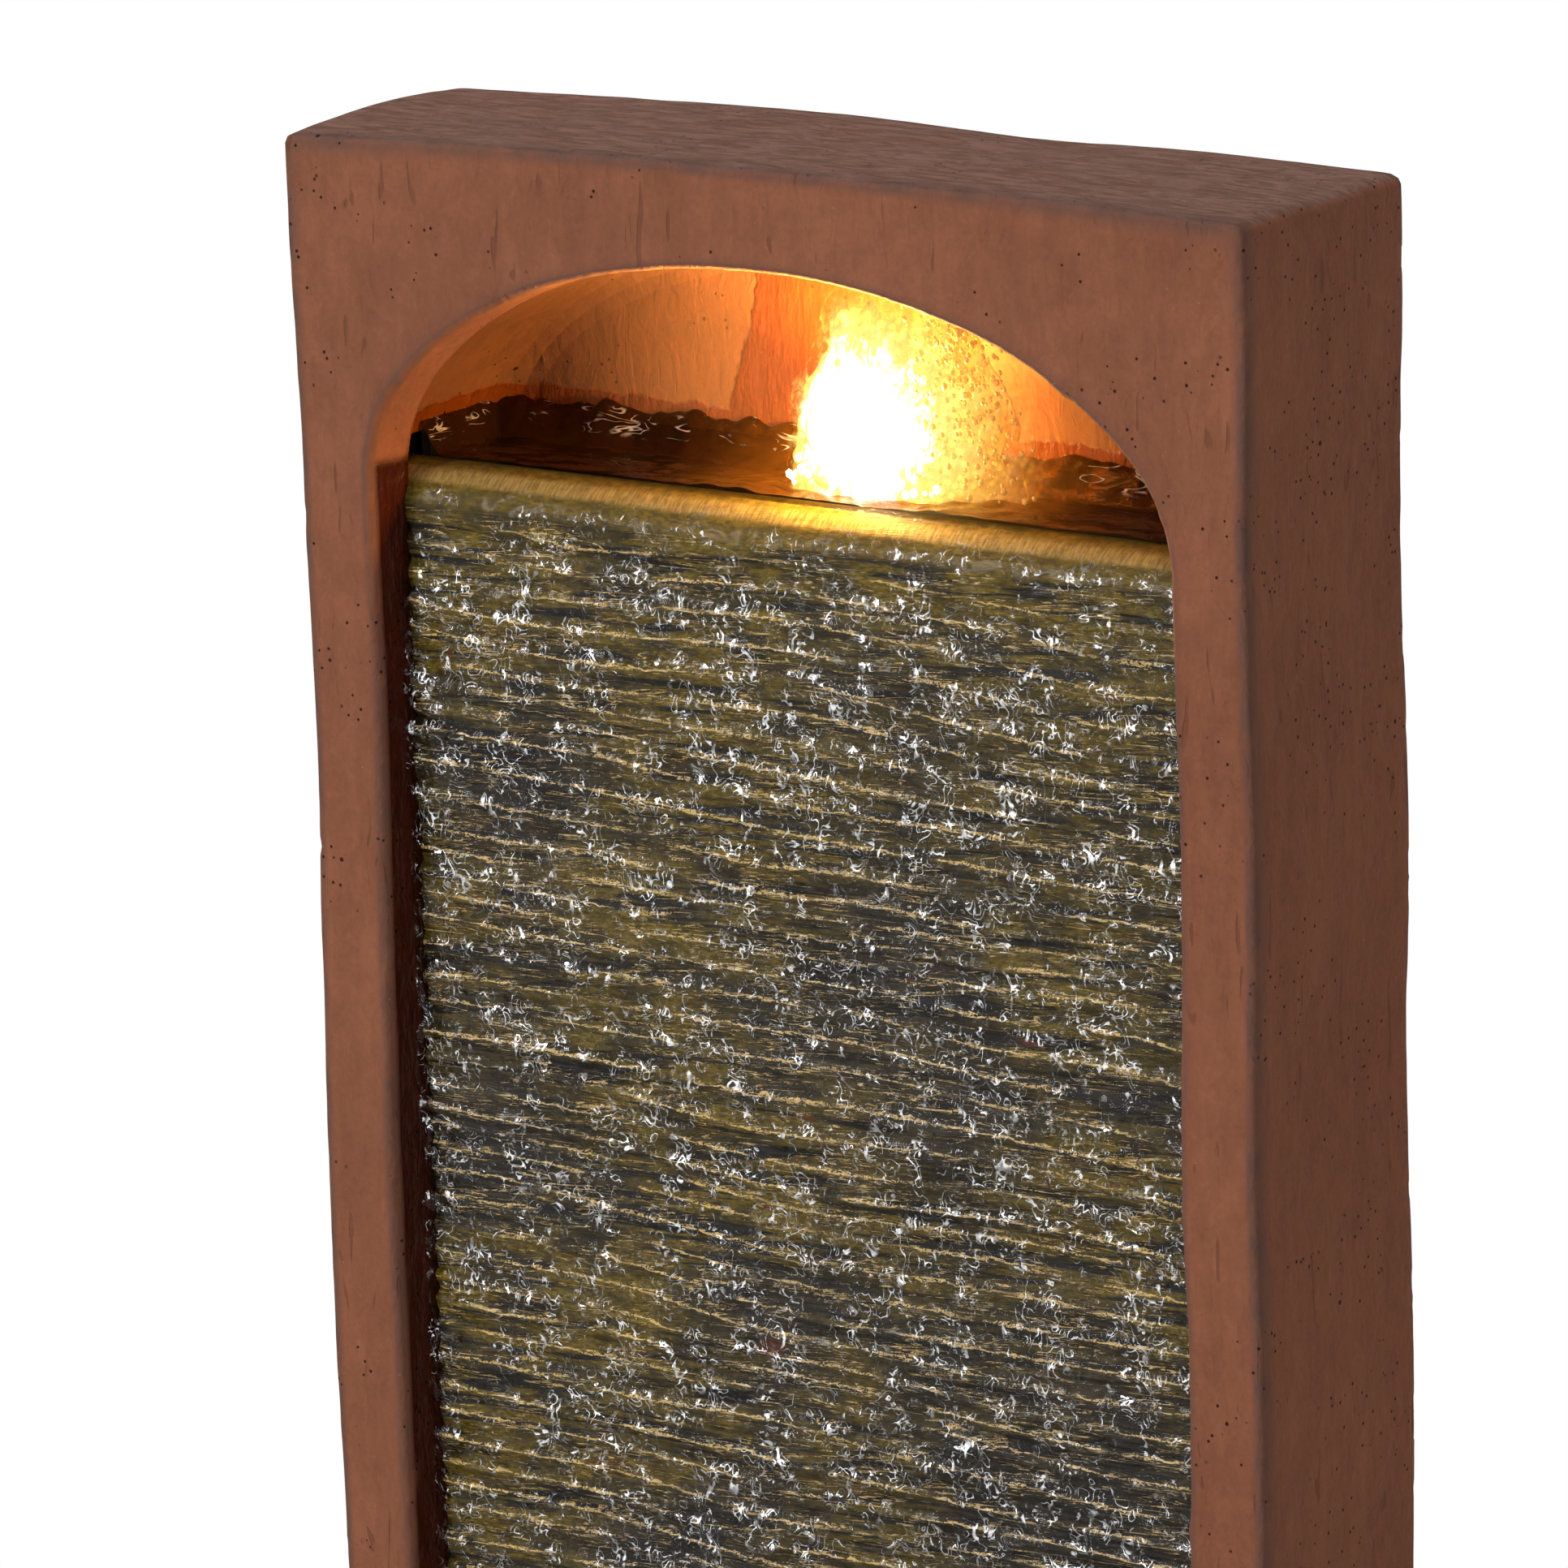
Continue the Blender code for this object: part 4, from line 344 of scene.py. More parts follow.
def new_group(
    name: str, inputs: Sequence[str], outputs: Sequence[str]
) -> tuple[Sheet, dict[str, Signal], bpy.types.Node]:
    """Starts a shader node group.

    Args:
        name: the group's name.
        inputs: its inputs' names.
        outputs: its outputs' names.

    Returns:
        The group's sheet, its inputs by name and the node that takes its outputs.
    """
    tree = bpy.data.node_groups.new(name, "ShaderNodeTree")
    for way, titles in (("INPUT", inputs), ("OUTPUT", outputs)):
        for title in titles:
            kind = "NodeSocketColor" if title in COLOUR_SOCKETS else "NodeSocketFloat"
            tree.interface.new_socket(title, in_out=way, socket_type=kind)
    sheet = Sheet(tree)
    source = tree.nodes.new("NodeGroupInput")
    ends = {title: Signal(sheet, source.outputs[title]) for title in inputs}
    return sheet, ends, tree.nodes.new("NodeGroupOutput")


class Effects:
    """The shader groups that several finishes share."""

    SURFACE = ("Color", "Roughness", "Height")
    MOTTLE: Recipe = (60.0, 4.0, 0.65)
    STREAK: Recipe = ((90.0, 90.0, 13.0), 4.0, 0.6, 0.4)
    DENTS: Recipe = ((150.0, 150.0, 75.0), 4.0, 0.6, 1.0)
    FINE: Recipe = (520.0, 3.0, 0.6)
    FLOW: Recipe = ((45.0, 190.0, 100.0), 5.0, 0.65, 1.4)
    CLOUDS: Recipe = (9.0, 4.0, 0.6)
    SCRATCH: Recipe = (1.0, 2.0, 0.4, 1.2)
    SCRATCH_STRETCH: Triple = (150.0, 150.0, 26.0)
    SCRATCH_SLANT = math.radians(24.0)
    PIT_CELLS, TINY_CELLS, SPECK_CELLS = 70.0, 230.0, 150.0
    WEATHERED = ((0.095, 0.055, 0.042), (0.27, 0.165, 0.135))
    WORN: Triple = (0.120, 0.068, 0.056)
    SCRATCHED: Triple = (0.12, 0.045, 0.028)
    SPECKLED: Triple = (0.50, 0.36, 0.30)
    PINHOLE_SHADE: Triple = (0.014, 0.007, 0.005)
    WET_FILM: Recipe = ((220.0, 220.0, 60.0),)
    PEBBLE: Recipe = (1.0, 3.0, 0.6)
    SMEAR: Recipe = (35.0, 4.0, 0.6)

    def __init__(self) -> None:
        """Builds each group once."""
        self.cast = self._cast()
        self.wetting = self._wetting()
        self.grain = self._grain()

    def _cast(self) -> bpy.types.NodeTree:
        """Hand-finished casting: cloudy colour, upright trowel streaks, pinholes with painted shade
        in them, and scratches.

        Returns:
            The group.
        """
        sheet, ends, result = new_group("cast_surface", ("Tone", "Edge", "Level"), self.SURFACE)
        place = sheet.place()
        recipes = (self.MOTTLE, self.STREAK, self.DENTS, self.FINE, self.FLOW)
        mottle, streak, dents, fine, flow = (place.noise(*recipe) for recipe in recipes)

        chosen = place.noise(24.0, 2.0) + abs(sheet.facing().axes()[0]).span(0.6, 0.9, 0.0, 0.06)
        pinhole = place.cells(self.PIT_CELLS).fall(0.04, 0.07) * chosen.span(0.555, 0.60)
        tiny = place.mapped(shift=(0.3, 0.1, 0.7)).cells(self.TINY_CELLS)
        holes = pinhole | tiny.fall(0.09, 0.15) * chosen.span(0.535, 0.585)
        specks = place.mapped(shift=(0.7, 0.4, 0.2)).cells(self.SPECK_CELLS)
        specks = specks.fall(0.03, 0.06) * mottle.span(0.5, 0.6)
        slanted = place.mapped(self.SCRATCH_STRETCH, (0.0, self.SCRATCH_SLANT, 0.0))
        scratch = slanted.noise(*self.SCRATCH).span(0.68, 0.73)

        shade = place.noise(*self.CLOUDS).span(0.25, 0.75, 0.90, 1.08)
        for layer, low, high in ((mottle, 0.92, 1.08), (streak, 0.93, 1.06), (dents, 0.93, 1.07)):
            shade = shade * layer.span(0.25, 0.75, low, high)
        shade = shade * fine.span(0.2, 0.8, 0.93, 1.07)
        tone = sheet.tint(ends["Tone"], shade)
        grey = flow.span(0.35, 0.65).mix(*self.WEATHERED)
        tone = (ends["Level"] * 0.62).mix(tone, grey)
        worn = ends["Edge"] * mottle.span(0.3, 0.7, 0.35, 0.85)
        # Worn edges, scratches and pale specks are the casting's own marks; the pinholes'
        # near-black is painted shade.
        for mask, colour in (
            (worn, self.WORN),
            (scratch * 0.45, self.SCRATCHED),
            (specks * 0.35, self.SPECKLED),
            (holes * 0.92, self.PINHOLE_SHADE),
        ):
            tone = mask.mix(tone, colour)
        height = streak * 0.45 + dents * 0.75 + mottle * 0.55
        height = height + ends["Level"] * flow * 1.3 + fine * 0.12 - scratch * 0.22 - holes * 1.1
        rough = mottle.span(0.2, 0.8, 0.74, 0.90) + holes * 0.08
        sheet.feed(result, {"Color": tone, "Roughness": rough, "Height": height})
        return sheet.tree

    def _wetting(self) -> bpy.types.NodeTree:
        """Darkens and polishes what is wet.

        Returns:
            The group.
        """
        sheet, ends, result = new_group(
            "wetting", ("Tone", "Rough", "Wet", "Stain"), ("Color", "Roughness", "Film")
        )
        wet = ends["Wet"]
        colour = wet.mix(ends["Tone"], sheet.tint(ends["Tone"], ends["Stain"]))
        rough = ends["Rough"] - wet * 0.58
        film = wet * sheet.place().noise(*self.WET_FILM)
        sheet.feed(result, {"Color": colour, "Roughness": rough, "Film": film})
        return sheet.tree

    def _grain(self) -> bpy.types.NodeTree:
        """Fine moulded or brushed grain with handling marks.

        Returns:
            The group.
        """
        sheet, ends, result = new_group("moulded_grain", ("Tone", "Rough", "Size"), self.SURFACE)
        place = sheet.place()
        scaled = sheet.signal("VectorMath", {0: place, "Scale": ends["Size"]}, operation="SCALE")
        pebble = scaled.noise(*self.PEBBLE)
        smear = place.noise(*self.SMEAR)
        shade = pebble.span(0.2, 0.8, 0.9, 1.1) * smear.span(0.25, 0.75, 0.88, 1.12)
        rough = ends["Rough"] + smear.span(0.2, 0.8, -0.07, 0.09)
        colour = sheet.tint(ends["Tone"], shade)
        sheet.feed(result, {"Color": colour, "Roughness": rough, "Height": pebble})
        return sheet.tree


@dataclass(frozen=True)
class Finish:
    """A named finish. Each kind wires its own nodes."""

    name: str

    def build(self, effects: Effects) -> bpy.types.Material:
        """Builds the material.

        Args:
            effects: the shared shader groups.

        Returns:
            The material.
        """
        finish = bpy.data.materials.new(self.name)
        finish.use_nodes = True
        self.wire(Sheet(finish.node_tree), effects)
        return finish

    def wire(self, sheet: Sheet, effects: Effects) -> None:
        """Wires the material's nodes."""


@dataclass(frozen=True)
class CastFinish(Finish):
    """Terracotta-coloured casting, dry or wet by the mesh's own attributes."""

    tone: Triple
    stain: Triple = (0.17, 0.075, 0.04)
    reads_attributes: bool = True
    relief: Pair = (0.0015, 1.0)
    film_relief: Pair = (0.0015, 0.8)
    shine: float = 0.10

    def wire(self, sheet: Sheet, effects: Effects) -> None:
        """Wires the casting.

        Args:
            sheet: the material's sheet.
            effects: the shared shader groups.
        """
        level = sheet.facing().axes()[2].span(0.55, 0.9)
        edge = sheet.attribute("edge") if self.reads_attributes else 0.0
        wet = sheet.attribute("wet") if self.reads_attributes else 0.0
        self.cast(sheet, effects, edge, level, wet)

    def cast(
        self, sheet: Sheet, effects: Effects, edge: Value, level: Value, wet: Value
    ) -> None:
        """Lays the cast surface and its wetting.

        Args:
            sheet: the material's sheet.
            effects: the shared shader groups.
            edge: where the casting is worn.
            level: where it faces up and has weathered grey.
            wet: where it is wet.
        """
        cast = sheet.group(effects.cast, {"Tone": self.tone, "Edge": edge, "Level": level})
        dry = {"Tone": cast["Color"], "Rough": cast["Roughness"]}
        wetted = sheet.group(effects.wetting, {**dry, "Wet": wet, "Stain": self.stain})
        bend = cast["Height"].bump(*self.relief)
        looks = {"Base Color": wetted["Color"], "Roughness": wetted["Roughness"]}
        looks["Normal"] = wetted["Film"].bump(*self.film_relief, bend)
        sheet.dress({**looks, "Specular IOR Level": self.shine})


@dataclass(frozen=True)
class NicheFinish(CastFinish):
    """The niche's casting, with its wetted patch behind the spout, its waterline and a painted glow
    of the spout's light.
    """

    stain: Triple = (0.85, 0.50, 0.14)
    relief: Pair = (0.0012, 0.9)
    film_relief: Pair = (0.001, 0.8)
    shine: float = 0.08
    wet_left: Pair = (-0.065, -0.053)
    wet_right: Pair = (0.058, 0.037)
    wet_heights: Pair = (0.893, 0.943)
    waterline: float = 0.8935
    soft: float = 0.0008
    # Painted light: the colour, middle and reach of an orange glow, laid as emission, for the
    # spout's light on the niche.
    lit: Triple = (0.40, 0.125, 0.026)
    painted_glow_from: Triple = (-0.018, 0.075, 0.925)
    painted_glow_span: Pair = (0.03, 0.135)
    ragged: Recipe = (70.0, 4.0, 0.6)
    ragged_by: float = 0.002

    def wire(self, sheet: Sheet, effects: Effects) -> None:
        """Wires the niche's casting.

        Args:
            sheet: the material's sheet.
            effects: the shared shader groups.
        """
        place = sheet.place()
        x, _, z = place.axes()
        ragged = place.noise(*self.ragged).span(0.2, 0.8, -self.ragged_by, self.ragged_by)
        ragged_x = x + ragged
        left = z.span(*self.wet_heights, *self.wet_left)
        right = z.span(*self.wet_heights, *self.wet_right)
        past_left = (ragged_x - left).span(-self.soft, self.soft)
        before_right = (right - ragged_x).span(-self.soft, self.soft)
        below = (z + ragged * 0.8).fall(self.waterline - self.soft, self.waterline + self.soft)
        wet = past_left * before_right | below
        self.cast(sheet, effects, 0.0, 0.0, wet)
        # Painted light: emission that fades with distance from a point near the spout, weaker where
        # the wall is wet.
        near = place.away(self.painted_glow_from).fall(*self.painted_glow_span) * wet.span(0.0, 1.0, 1.0, 0.55)
        sheet.dress({"Emission Color": near.mix(BLACK, self.lit), "Emission Strength": 1.0})


@dataclass(frozen=True)
class SlateFinish(Finish):
    """Wet layered slate: olive and grey-brown beds with dry-brushed gold along the crests."""

    lip_height: float
    rear: float
    slant: float = 3.0
    resin: Triple = (0.040, 0.036, 0.030)
    groove: Triple = (0.011, 0.008, 0.005)
    grey: Triple = (0.048, 0.037, 0.021)
    olive: Triple = (0.200, 0.134, 0.012)
    gold: Triple = (0.90, 0.62, 0.23)
    pale_gold: Triple = (0.88, 0.62, 0.28)
    rust: Triple = (0.13, 0.03, 0.008)
    beds: Recipe = ((16.0, 16.0, 230.0), 4.0, 0.62, 0.6)
    fibre: Recipe = ((300.0, 300.0, 800.0), 3.0, 0.7)
    zones: Recipe = ((7.0, 7.0, 9.0), 3.0, 0.5)
    patches: Recipe = ((34.0, 34.0, 90.0), 3.0, 0.6)
    lines: Recipe = ((26.0, 26.0, 420.0), 3.0, 0.6, 0.9)
    line_breaks: Recipe = ((36.0, 36.0, 170.0), 3.0, 0.6, 0.0, (0.4, 0.2, 0.9))
    jags: Recipe = ((130.0, 130.0, 520.0), 4.0, 0.7)
    crest_breaks: Recipe = ((30.0, 30.0, 95.0), 3.0, 0.6, 0.0, (0.8, 0.1, 0.3))
    grains: Recipe = (1500.0, 2.0, 0.6)
    rubbing: Recipe = ((1150.0, 150.0, 150.0), 3.0, 0.6)
    # Depths under the lip's top at which each zone begins and ends.
    olive_zone: Pair = (0.085, 0.012)
    paint_end: Pair = (0.011, 0.017)
    lip_zone: Pair = (0.016, 0.010)
    band_foot: Pair = (0.0072, 0.0050)
    band_top: Pair = (0.0030, 0.0010)
    resin_end: Pair = (0.036, 0.032)
    resin_skin: Pair = (0.0015, 0.0005)
    relief: Pair = (0.0018, 0.9)
    shine: float = 0.12

    def under_lip(self, height: Signal, depths: Pair, *ends: float) -> Signal:
        """A smooth step between two depths under the lip's top."""
        return height.span(*(self.lip_height - depth for depth in depths), *ends)

    def wire(self, sheet: Sheet, effects: Effects) -> None:
        """Wires the slate.

        Args:
            sheet: the material's sheet.
            effects: the shared shader groups, not used here.
        """
        place = sheet.place()
        height = place.axes()[2]
        tilted = place.mapped(turn=(0.0, math.radians(self.slant), 0.0))
        beds, fibre = (tilted.noise(*recipe) for recipe in (self.beds, self.fibre))
        zone, patch = (place.noise(*recipe) for recipe in (self.zones, self.patches))

        near_lip = self.under_lip(height, self.olive_zone)
        ground = (zone.span(0.36, 0.56) + near_lip).held().mix(self.grey, self.olive)
        for mask, colour in (
            (patch.span(0.38, 0.60, 0.75, 0.0), self.groove),
            (fibre.span(0.38, 0.60, 0.6, 0.0), self.groove),
            (beds.span(0.50, 0.40), self.groove),
            (patch.span(0.68, 0.74) * 0.7, self.rust),
        ):
            ground = mask.mix(ground, colour)

        lines, present = (tilted.noise(*recipe) for recipe in (self.lines, self.line_breaks))
        ridge = lines.stroke(0.010, 0.020) * present.span(0.47, 0.52)
        jagged = tilted.noise(*self.jags).span(0.25, 0.75, -0.9, 0.9)
        line = abs(sheet.attribute("crest_gap") + jagged).fall(0.30, 0.52)
        stretch = tilted.noise(*self.crest_breaks)
        crest = line * sheet.attribute("crest_near") * stretch.span(0.42, 0.52)
        grains = place.noise(*self.grains) + fibre * 0.6
        brushed = (ridge | crest) * self.under_lip(height, self.paint_end)
        brushed = brushed * grains.span(0.71, 0.78)
        paint = zone.fall(0.40, 0.62).mix(self.gold, self.pale_gold)
        body = (brushed * 0.95).mix(ground, paint)

        lip = self.under_lip(height, self.lip_zone)
        band = self.under_lip(height, self.band_foot)
        band = band * self.under_lip(height, self.band_top, 1.0, 0.12)
        rubbed = place.noise(*self.rubbing).span(0.34, 0.70, 0.26, 0.72)
        lip_olive = fibre.span(0.38, 0.62, 0.45, 1.0).mix(self.groove, self.olive)
        painted = (band * rubbed * 0.64).mix((lip * 0.8).mix(body, lip_olive), self.gold)
        behind = place.axes()[1].span(*(self.rear - depth for depth in self.resin_skin))
        moulded = behind * self.under_lip(height, self.resin_end, 1.0, 0.0)
        relief = (ridge * 0.25 + beds + fibre * 0.4) * lip.span(0.0, 1.0, 1.0, 0.35)
        sheet.dress({
            "Base Color": moulded.mix(painted, self.resin),
            "Roughness": fibre.span(0.2, 0.8, 0.34, 0.62),
            "Normal": relief.bump(*self.relief),
            "Specular IOR Level": self.shine,
        })


@dataclass(frozen=True)
class FilmFinish(Finish):
    """Clear running water, seen by what it mirrors and by painted glints: curls of white metal on
    its ripples.
    """

    lip_height: float
    boost: float = 0.6
    boost_at_lip: float = 0.3
    glint_cover: float = 0.64
    ior: float = 1.333
    # Depths under the lip's top between which the water turns calm.
    calm_zone: Pair = (0.050, 0.012)
    curls: Recipe = ((210.0, 210.0, 170.0), 1.0, 0.5, 1.3)
    folds: Recipe = ((100.0, 100.0, 130.0), 1.0, 0.5, 0.9)
    drawn: Recipe = ((50.0, 50.0, 80.0), 1.0, 0.5, 0.8)
    # Noises that lay the painted glints: their strokes, blobs, where they gather and how bright
    # they are.
    glint_strokes: Recipe = ((165.0, 165.0, 150.0), 1.0, 0.5, 1.5, (0.5, 0.2, 0.8))
    drops: Recipe = ((240.0, 240.0, 170.0), 1.0, 0.5, 1.2, (0.1, 0.7, 0.4))
    glint_bunches: Recipe = ((75.0, 75.0, 62.0), 2.0, 0.6, 0.6, (0.9, 0.3, 0.6))
    glints: Recipe = (190.0, 2.0, 0.6)
    glint_tone: Triple = (0.80, 0.83, 0.88)

    def wire(self, sheet: Sheet, effects: Effects) -> None:
        """Wires the running water.

        Args:
            sheet: the material's sheet.
            effects: the shared shader groups, not used here.
        """
        place = sheet.place()
        calm = place.axes()[2].span(*(self.lip_height - depth for depth in self.calm_zone))
        recipes = (self.curls, self.folds, self.drawn)
        curls, folds, drawn = (place.noise(*recipe) for recipe in recipes)
        relief = (curls * 0.0006 + folds * 0.0011) * calm.span(0.0, 1.0, 1.0, 0.40)
        bend = (relief + drawn * 0.0018).bump(1.0)

        # Painted highlights: white metal curls and blobs laid by noise, for the glints of the lamps
        # on the ripples.
        recipes = (self.glint_strokes, self.drops, self.glint_bunches)
        stroke, drop, chosen = (place.noise(*recipe) for recipe in recipes)
        bright = place.noise(*self.glints).span(0.36, 0.66, 0.15, 1.0)
        curl = (stroke.stroke(0.006, 0.032) | drop.span(0.65, 0.73)) * chosen.span(0.455, 0.545)
        curl = curl * calm.span(0.2, 1.0, 1.0, 0.30) * bright * self.glint_cover

        fresnel = sheet.signal("Fresnel", {"IOR": self.ior, "Normal": bend})
        mirror = (fresnel * calm.span(0.3, 1.0, self.boost, self.boost_at_lip)).held()
        sheet.dress({
            "Base Color": curl.mix(WHITE, self.glint_tone),
            "Metallic": 1.0,
            "Roughness": curl.span(0.0, 0.5, 0.10, 0.42),
            "Normal": bend,
        })
        sheet.blend(mirror | curl, sheet.add("BsdfTransparent"), sheet.shader)


@dataclass(frozen=True)
class PoolFinish(Finish):
    """Deep still water: dark, glossy and rippled, with a painted glow towards the light and painted
    glint curls where it rises, when given.
    """

    deep: Triple
    clarity: float
    # The colour, middle and reach of a painted glow, laid as emission, for the spout's light on the
    # water.
    glow: Triple = BLACK
    painted_glow_centre: Triple = NONE
    painted_glow_reach: float = 0.1
    foams: bool = False
    glints_above: float = 0.0
    glint_rise: float = 0.003
    smooth: float = 0.05
    ior: float = 1.33
    foam_tone: Triple = (0.62, 0.60, 0.55)
    glint_tone: Triple = (0.42, 0.37, 0.33)
    clear_tone: Triple = (0.75, 0.72, 0.62)
    ripples: Recipe = ((70.0, 110.0, 70.0), 3.0, 0.5, 0.8)
    lather: Recipe = (120.0, 3.0, 0.6)
    curls: Recipe = ((58.0, 58.0, 230.0), 1.0, 0.5, 1.1)
    glint_bunches: Recipe = (80.0, 2.0, 0.6)
    bubbles: float = 420.0
    relief: Pair = (0.002, 0.7)

    def wire(self, sheet: Sheet, effects: Effects) -> None:
        """Wires the still water.

        Args:
            sheet: the material's sheet.
            effects: the shared shader groups, not used here.
        """
        place = sheet.place()
        ripple = place.noise(*self.ripples)
        water = sheet.tint(self.deep, place.noise(30.0).span(0.3, 0.7, 0.8, 1.2))
        cover: Value = 1.0 - self.clarity
        rough: Value = self.smooth
        if self.foams:
            lather = sheet.attribute("foam") + place.noise(*self.lather)
            foam = lather.span(0.85, 1.25) * place.cells(self.bubbles).span(0.1, 0.5, 1.0, 0.35)
            water = foam.mix(water, self.foam_tone)
            cover = (foam + cover).held()
            rough = foam.span(0.0, 1.0, self.smooth, 0.5)
        # Painted highlights: white curls where the water rises against the walls, for glints along
        # its edge.
        if self.glints_above:
            stroke = place.noise(*self.curls).stroke(0.006, 0.026)
            raised = place.axes()[2].span(self.glints_above, self.glints_above + self.glint_rise)
            curl = stroke * place.noise(*self.glint_bunches).span(0.47, 0.58) * raised
            water = curl.mix(water, self.glint_tone)
            rough = curl.span(0.0, 1.0, self.smooth, 0.4)
        looks = {"Base Color": water, "Roughness": rough, "Normal": ripple.bump(*self.relief)}
        sheet.dress({**looks, "IOR": self.ior})
        # Painted light: emission that fades with distance from the spout, broken by the ripples.
        if max(self.glow) > 0.0:
            near = place.away(self.painted_glow_centre).fall(0.0, self.painted_glow_reach)
            painted_glow_colour = (near * ripple.span(0.3, 0.7, 0.6, 1.1)).mix(BLACK, self.glow)
            sheet.dress({"Emission Color": painted_glow_colour, "Emission Strength": 1.0})
        clear = sheet.feed(sheet.add("BsdfTransparent"), {"Color": self.clear_tone})
        sheet.blend(cover, clear, sheet.shader)


@dataclass(frozen=True)
class GlowFinish(Finish):
    """Foaming water lit from below: white at its heart, then yellow, then a thinning amber haze."""

    heart: Triple
    strength: float
    cover: float
    bubble: float = 190.0
    flat: float = 0.88
    fades: bool = True
    hot: Triple = (1.0, 0.97, 0.82)
    yellow: Triple = (0.44, 0.30, 0.055)
    orange: Triple = (0.29, 0.145, 0.014)
    amber: Triple = (0.15, 0.050, 0.0025)
    tones: tuple[Triple, Triple] = ((0.30, 0.13, 0.03), (0.75, 0.45, 0.15))
    rings: tuple[Pair, ...] = ((0.016, 0.029), (0.029, 0.047), (0.045, 0.066))
    ragged_by: float = 0.007
    thinning: tuple[float, ...] = (0.020, 0.060, 1.6, 0.46)
    rough: float = 0.22
    relief: Pair = (0.003, 1.0)

    def wire(self, sheet: Sheet, effects: Effects) -> None:
        """Wires the lit froth.

        Args:
            sheet: the material's sheet.
            effects: the shared shader groups, not used here.
        """
        place = sheet.place()
        froth = place.mapped((1.0, 1.0, 0.75)).noise(self.bubble, 4.0, 0.65, 1.0)
        seen = place.mapped((1.0, 0.0, self.flat))
        far = seen.away((self.heart[0], 0.0, self.heart[2] * self.flat))
        far = far + froth.span(0.25, 0.75, -self.ragged_by, self.ragged_by)
        light: Value = self.hot
        for ring, colour in zip(self.rings, (self.yellow, self.orange, self.amber)):
            light = far.span(*ring).mix(light, colour)
        light = sheet.tint(light, place.cells(self.bubble * 1.6).span(0.05, 0.6, 1.20, 0.60))
        sheet.dress({
            "Base Color": froth.mix(*self.tones),
            "Roughness": self.rough,
            "Normal": froth.bump(*self.relief),
            "Emission Color": light,
            "Emission Strength": self.strength,
        })
        if self.fades:
            thick = sheet.attribute("fade") + froth.span(0.25, 0.75, -0.35, 0.35)
            body = thick.span(0.10, 0.95) * self.cover * far.span(*self.thinning)
            sheet.dress({"Alpha": body.held()})


@dataclass(frozen=True)
class MouldedFinish(Finish):
    """Plastic, rubber, resin or bare metal with a fine grain."""

    tone: Triple
    rough: float
    metallic: float = 0.0
    size: float = 900.0
    relief: float = 0.00012

    def wire(self, sheet: Sheet, effects: Effects) -> None:
        """Wires the grain.

        Args:
            sheet: the material's sheet.
            effects: the shared shader groups.
        """
        inputs = {"Tone": self.tone, "Rough": self.rough, "Size": self.size}
        grain = sheet.group(effects.grain, inputs)
        looks = {"Base Color": grain["Color"], "Roughness": grain["Roughness"]}
        looks["Normal"] = grain["Height"].bump(self.relief, 0.7)
        sheet.dress({**looks, "Metallic": self.metallic})


@dataclass(frozen=True)
class LensFinish(Finish):
    """The ring light's lens, lit from within."""

    light: Triple = (1.0, 0.72, 0.22)
    strength: float = 6.0
    tones: tuple[Triple, Triple] = ((0.9, 0.8, 0.5), (0.7, 0.6, 0.4))
    facets: float = 700.0

    def wire(self, sheet: Sheet, effects: Effects) -> None:
        """Wires the lens.

        Args:
            sheet: the material's sheet.
            effects: the shared shader groups, not used here.
        """
        facets = sheet.place().cells(self.facets)
        sheet.dress({
            "Base Color": facets.mix(*self.tones),
            "Roughness": 0.1,
            "Emission Color": sheet.tint(self.light, facets.span(0.0, 0.6, 1.2, 0.7)),
            "Emission Strength": self.strength,
        })


class ValueNoise:
    """Smooth seeded noise on a lattice, from -1 to 1."""

    SIDE = 48

    def __init__(self, seed: int) -> None:
        """Fills the lattice."""
        draw = np.random.default_rng(seed)
        self.table = draw.uniform(-1.0, 1.0, (self.SIDE,) * 3)

    def at(self, points: np.ndarray, size: Sequence[float]) -> np.ndarray:
        """Noise at points.

        Args:
            points: places, one row each.
            size: the lattice's spacing along each axis.

        Returns:
            One number for each place.
        """
        scaled = points / np.asarray(size)
        cell = np.floor(scaled).astype(int)
        part = scaled - cell
        part = part * part * (3.0 - 2.0 * part)
        total = np.zeros(len(points))
        for corner in itertools.product((0, 1), repeat=3):
            weight = np.ones(len(points))
            index = []
            for axis, step in enumerate(corner):
                weight = weight * (part[:, axis] if step else 1.0 - part[:, axis])
                index.append((cell[:, axis] + step) % self.SIDE)
            total += weight * self.table[tuple(index)]
        return total

    def layered(self, points: np.ndarray, size: Sequence[float], octaves: int) -> np.ndarray:
        """Noise summed over octaves, each half as coarse and half as strong.

        Args:
            points: places, one row each.
            size: the first octave's spacing along each axis.
            octaves: how many there are.

        Returns:
            One number for each place.
        """
        total = np.zeros(len(points))
        for octave in range(octaves):
            finer = [length / 2**octave for length in size]
            total += self.at(points + 0.137 * octave, finer) / 2**octave
        return total


def smoothstep(values: np.ndarray, low: float, high: float) -> np.ndarray:
    """A smooth step from 0 at low to 1 at high."""
    share = np.clip((values - low) / (high - low), 0.0, 1.0)
    return share * share * (3.0 - 2.0 * share)


def hill(values: np.ndarray, middle: float, width: float) -> np.ndarray:
    """A round hill, 1 high at its middle."""
    return np.exp(-(((values - middle) / width) ** 2))


def stack(*axes: Union[float, np.ndarray]) -> np.ndarray:
    """Places from their numbers along each axis, one row each."""
    return np.column_stack(np.broadcast_arrays(*axes))


def quarter_turn(steps: int) -> list[Pair]:
    """How far a rounded edge still is from its two faces, step by step."""
    angles = [QUARTER * i / steps for i in range(1, steps + 1)]
    return [(1 - math.cos(angle), 1 - math.sin(angle)) for angle in angles]


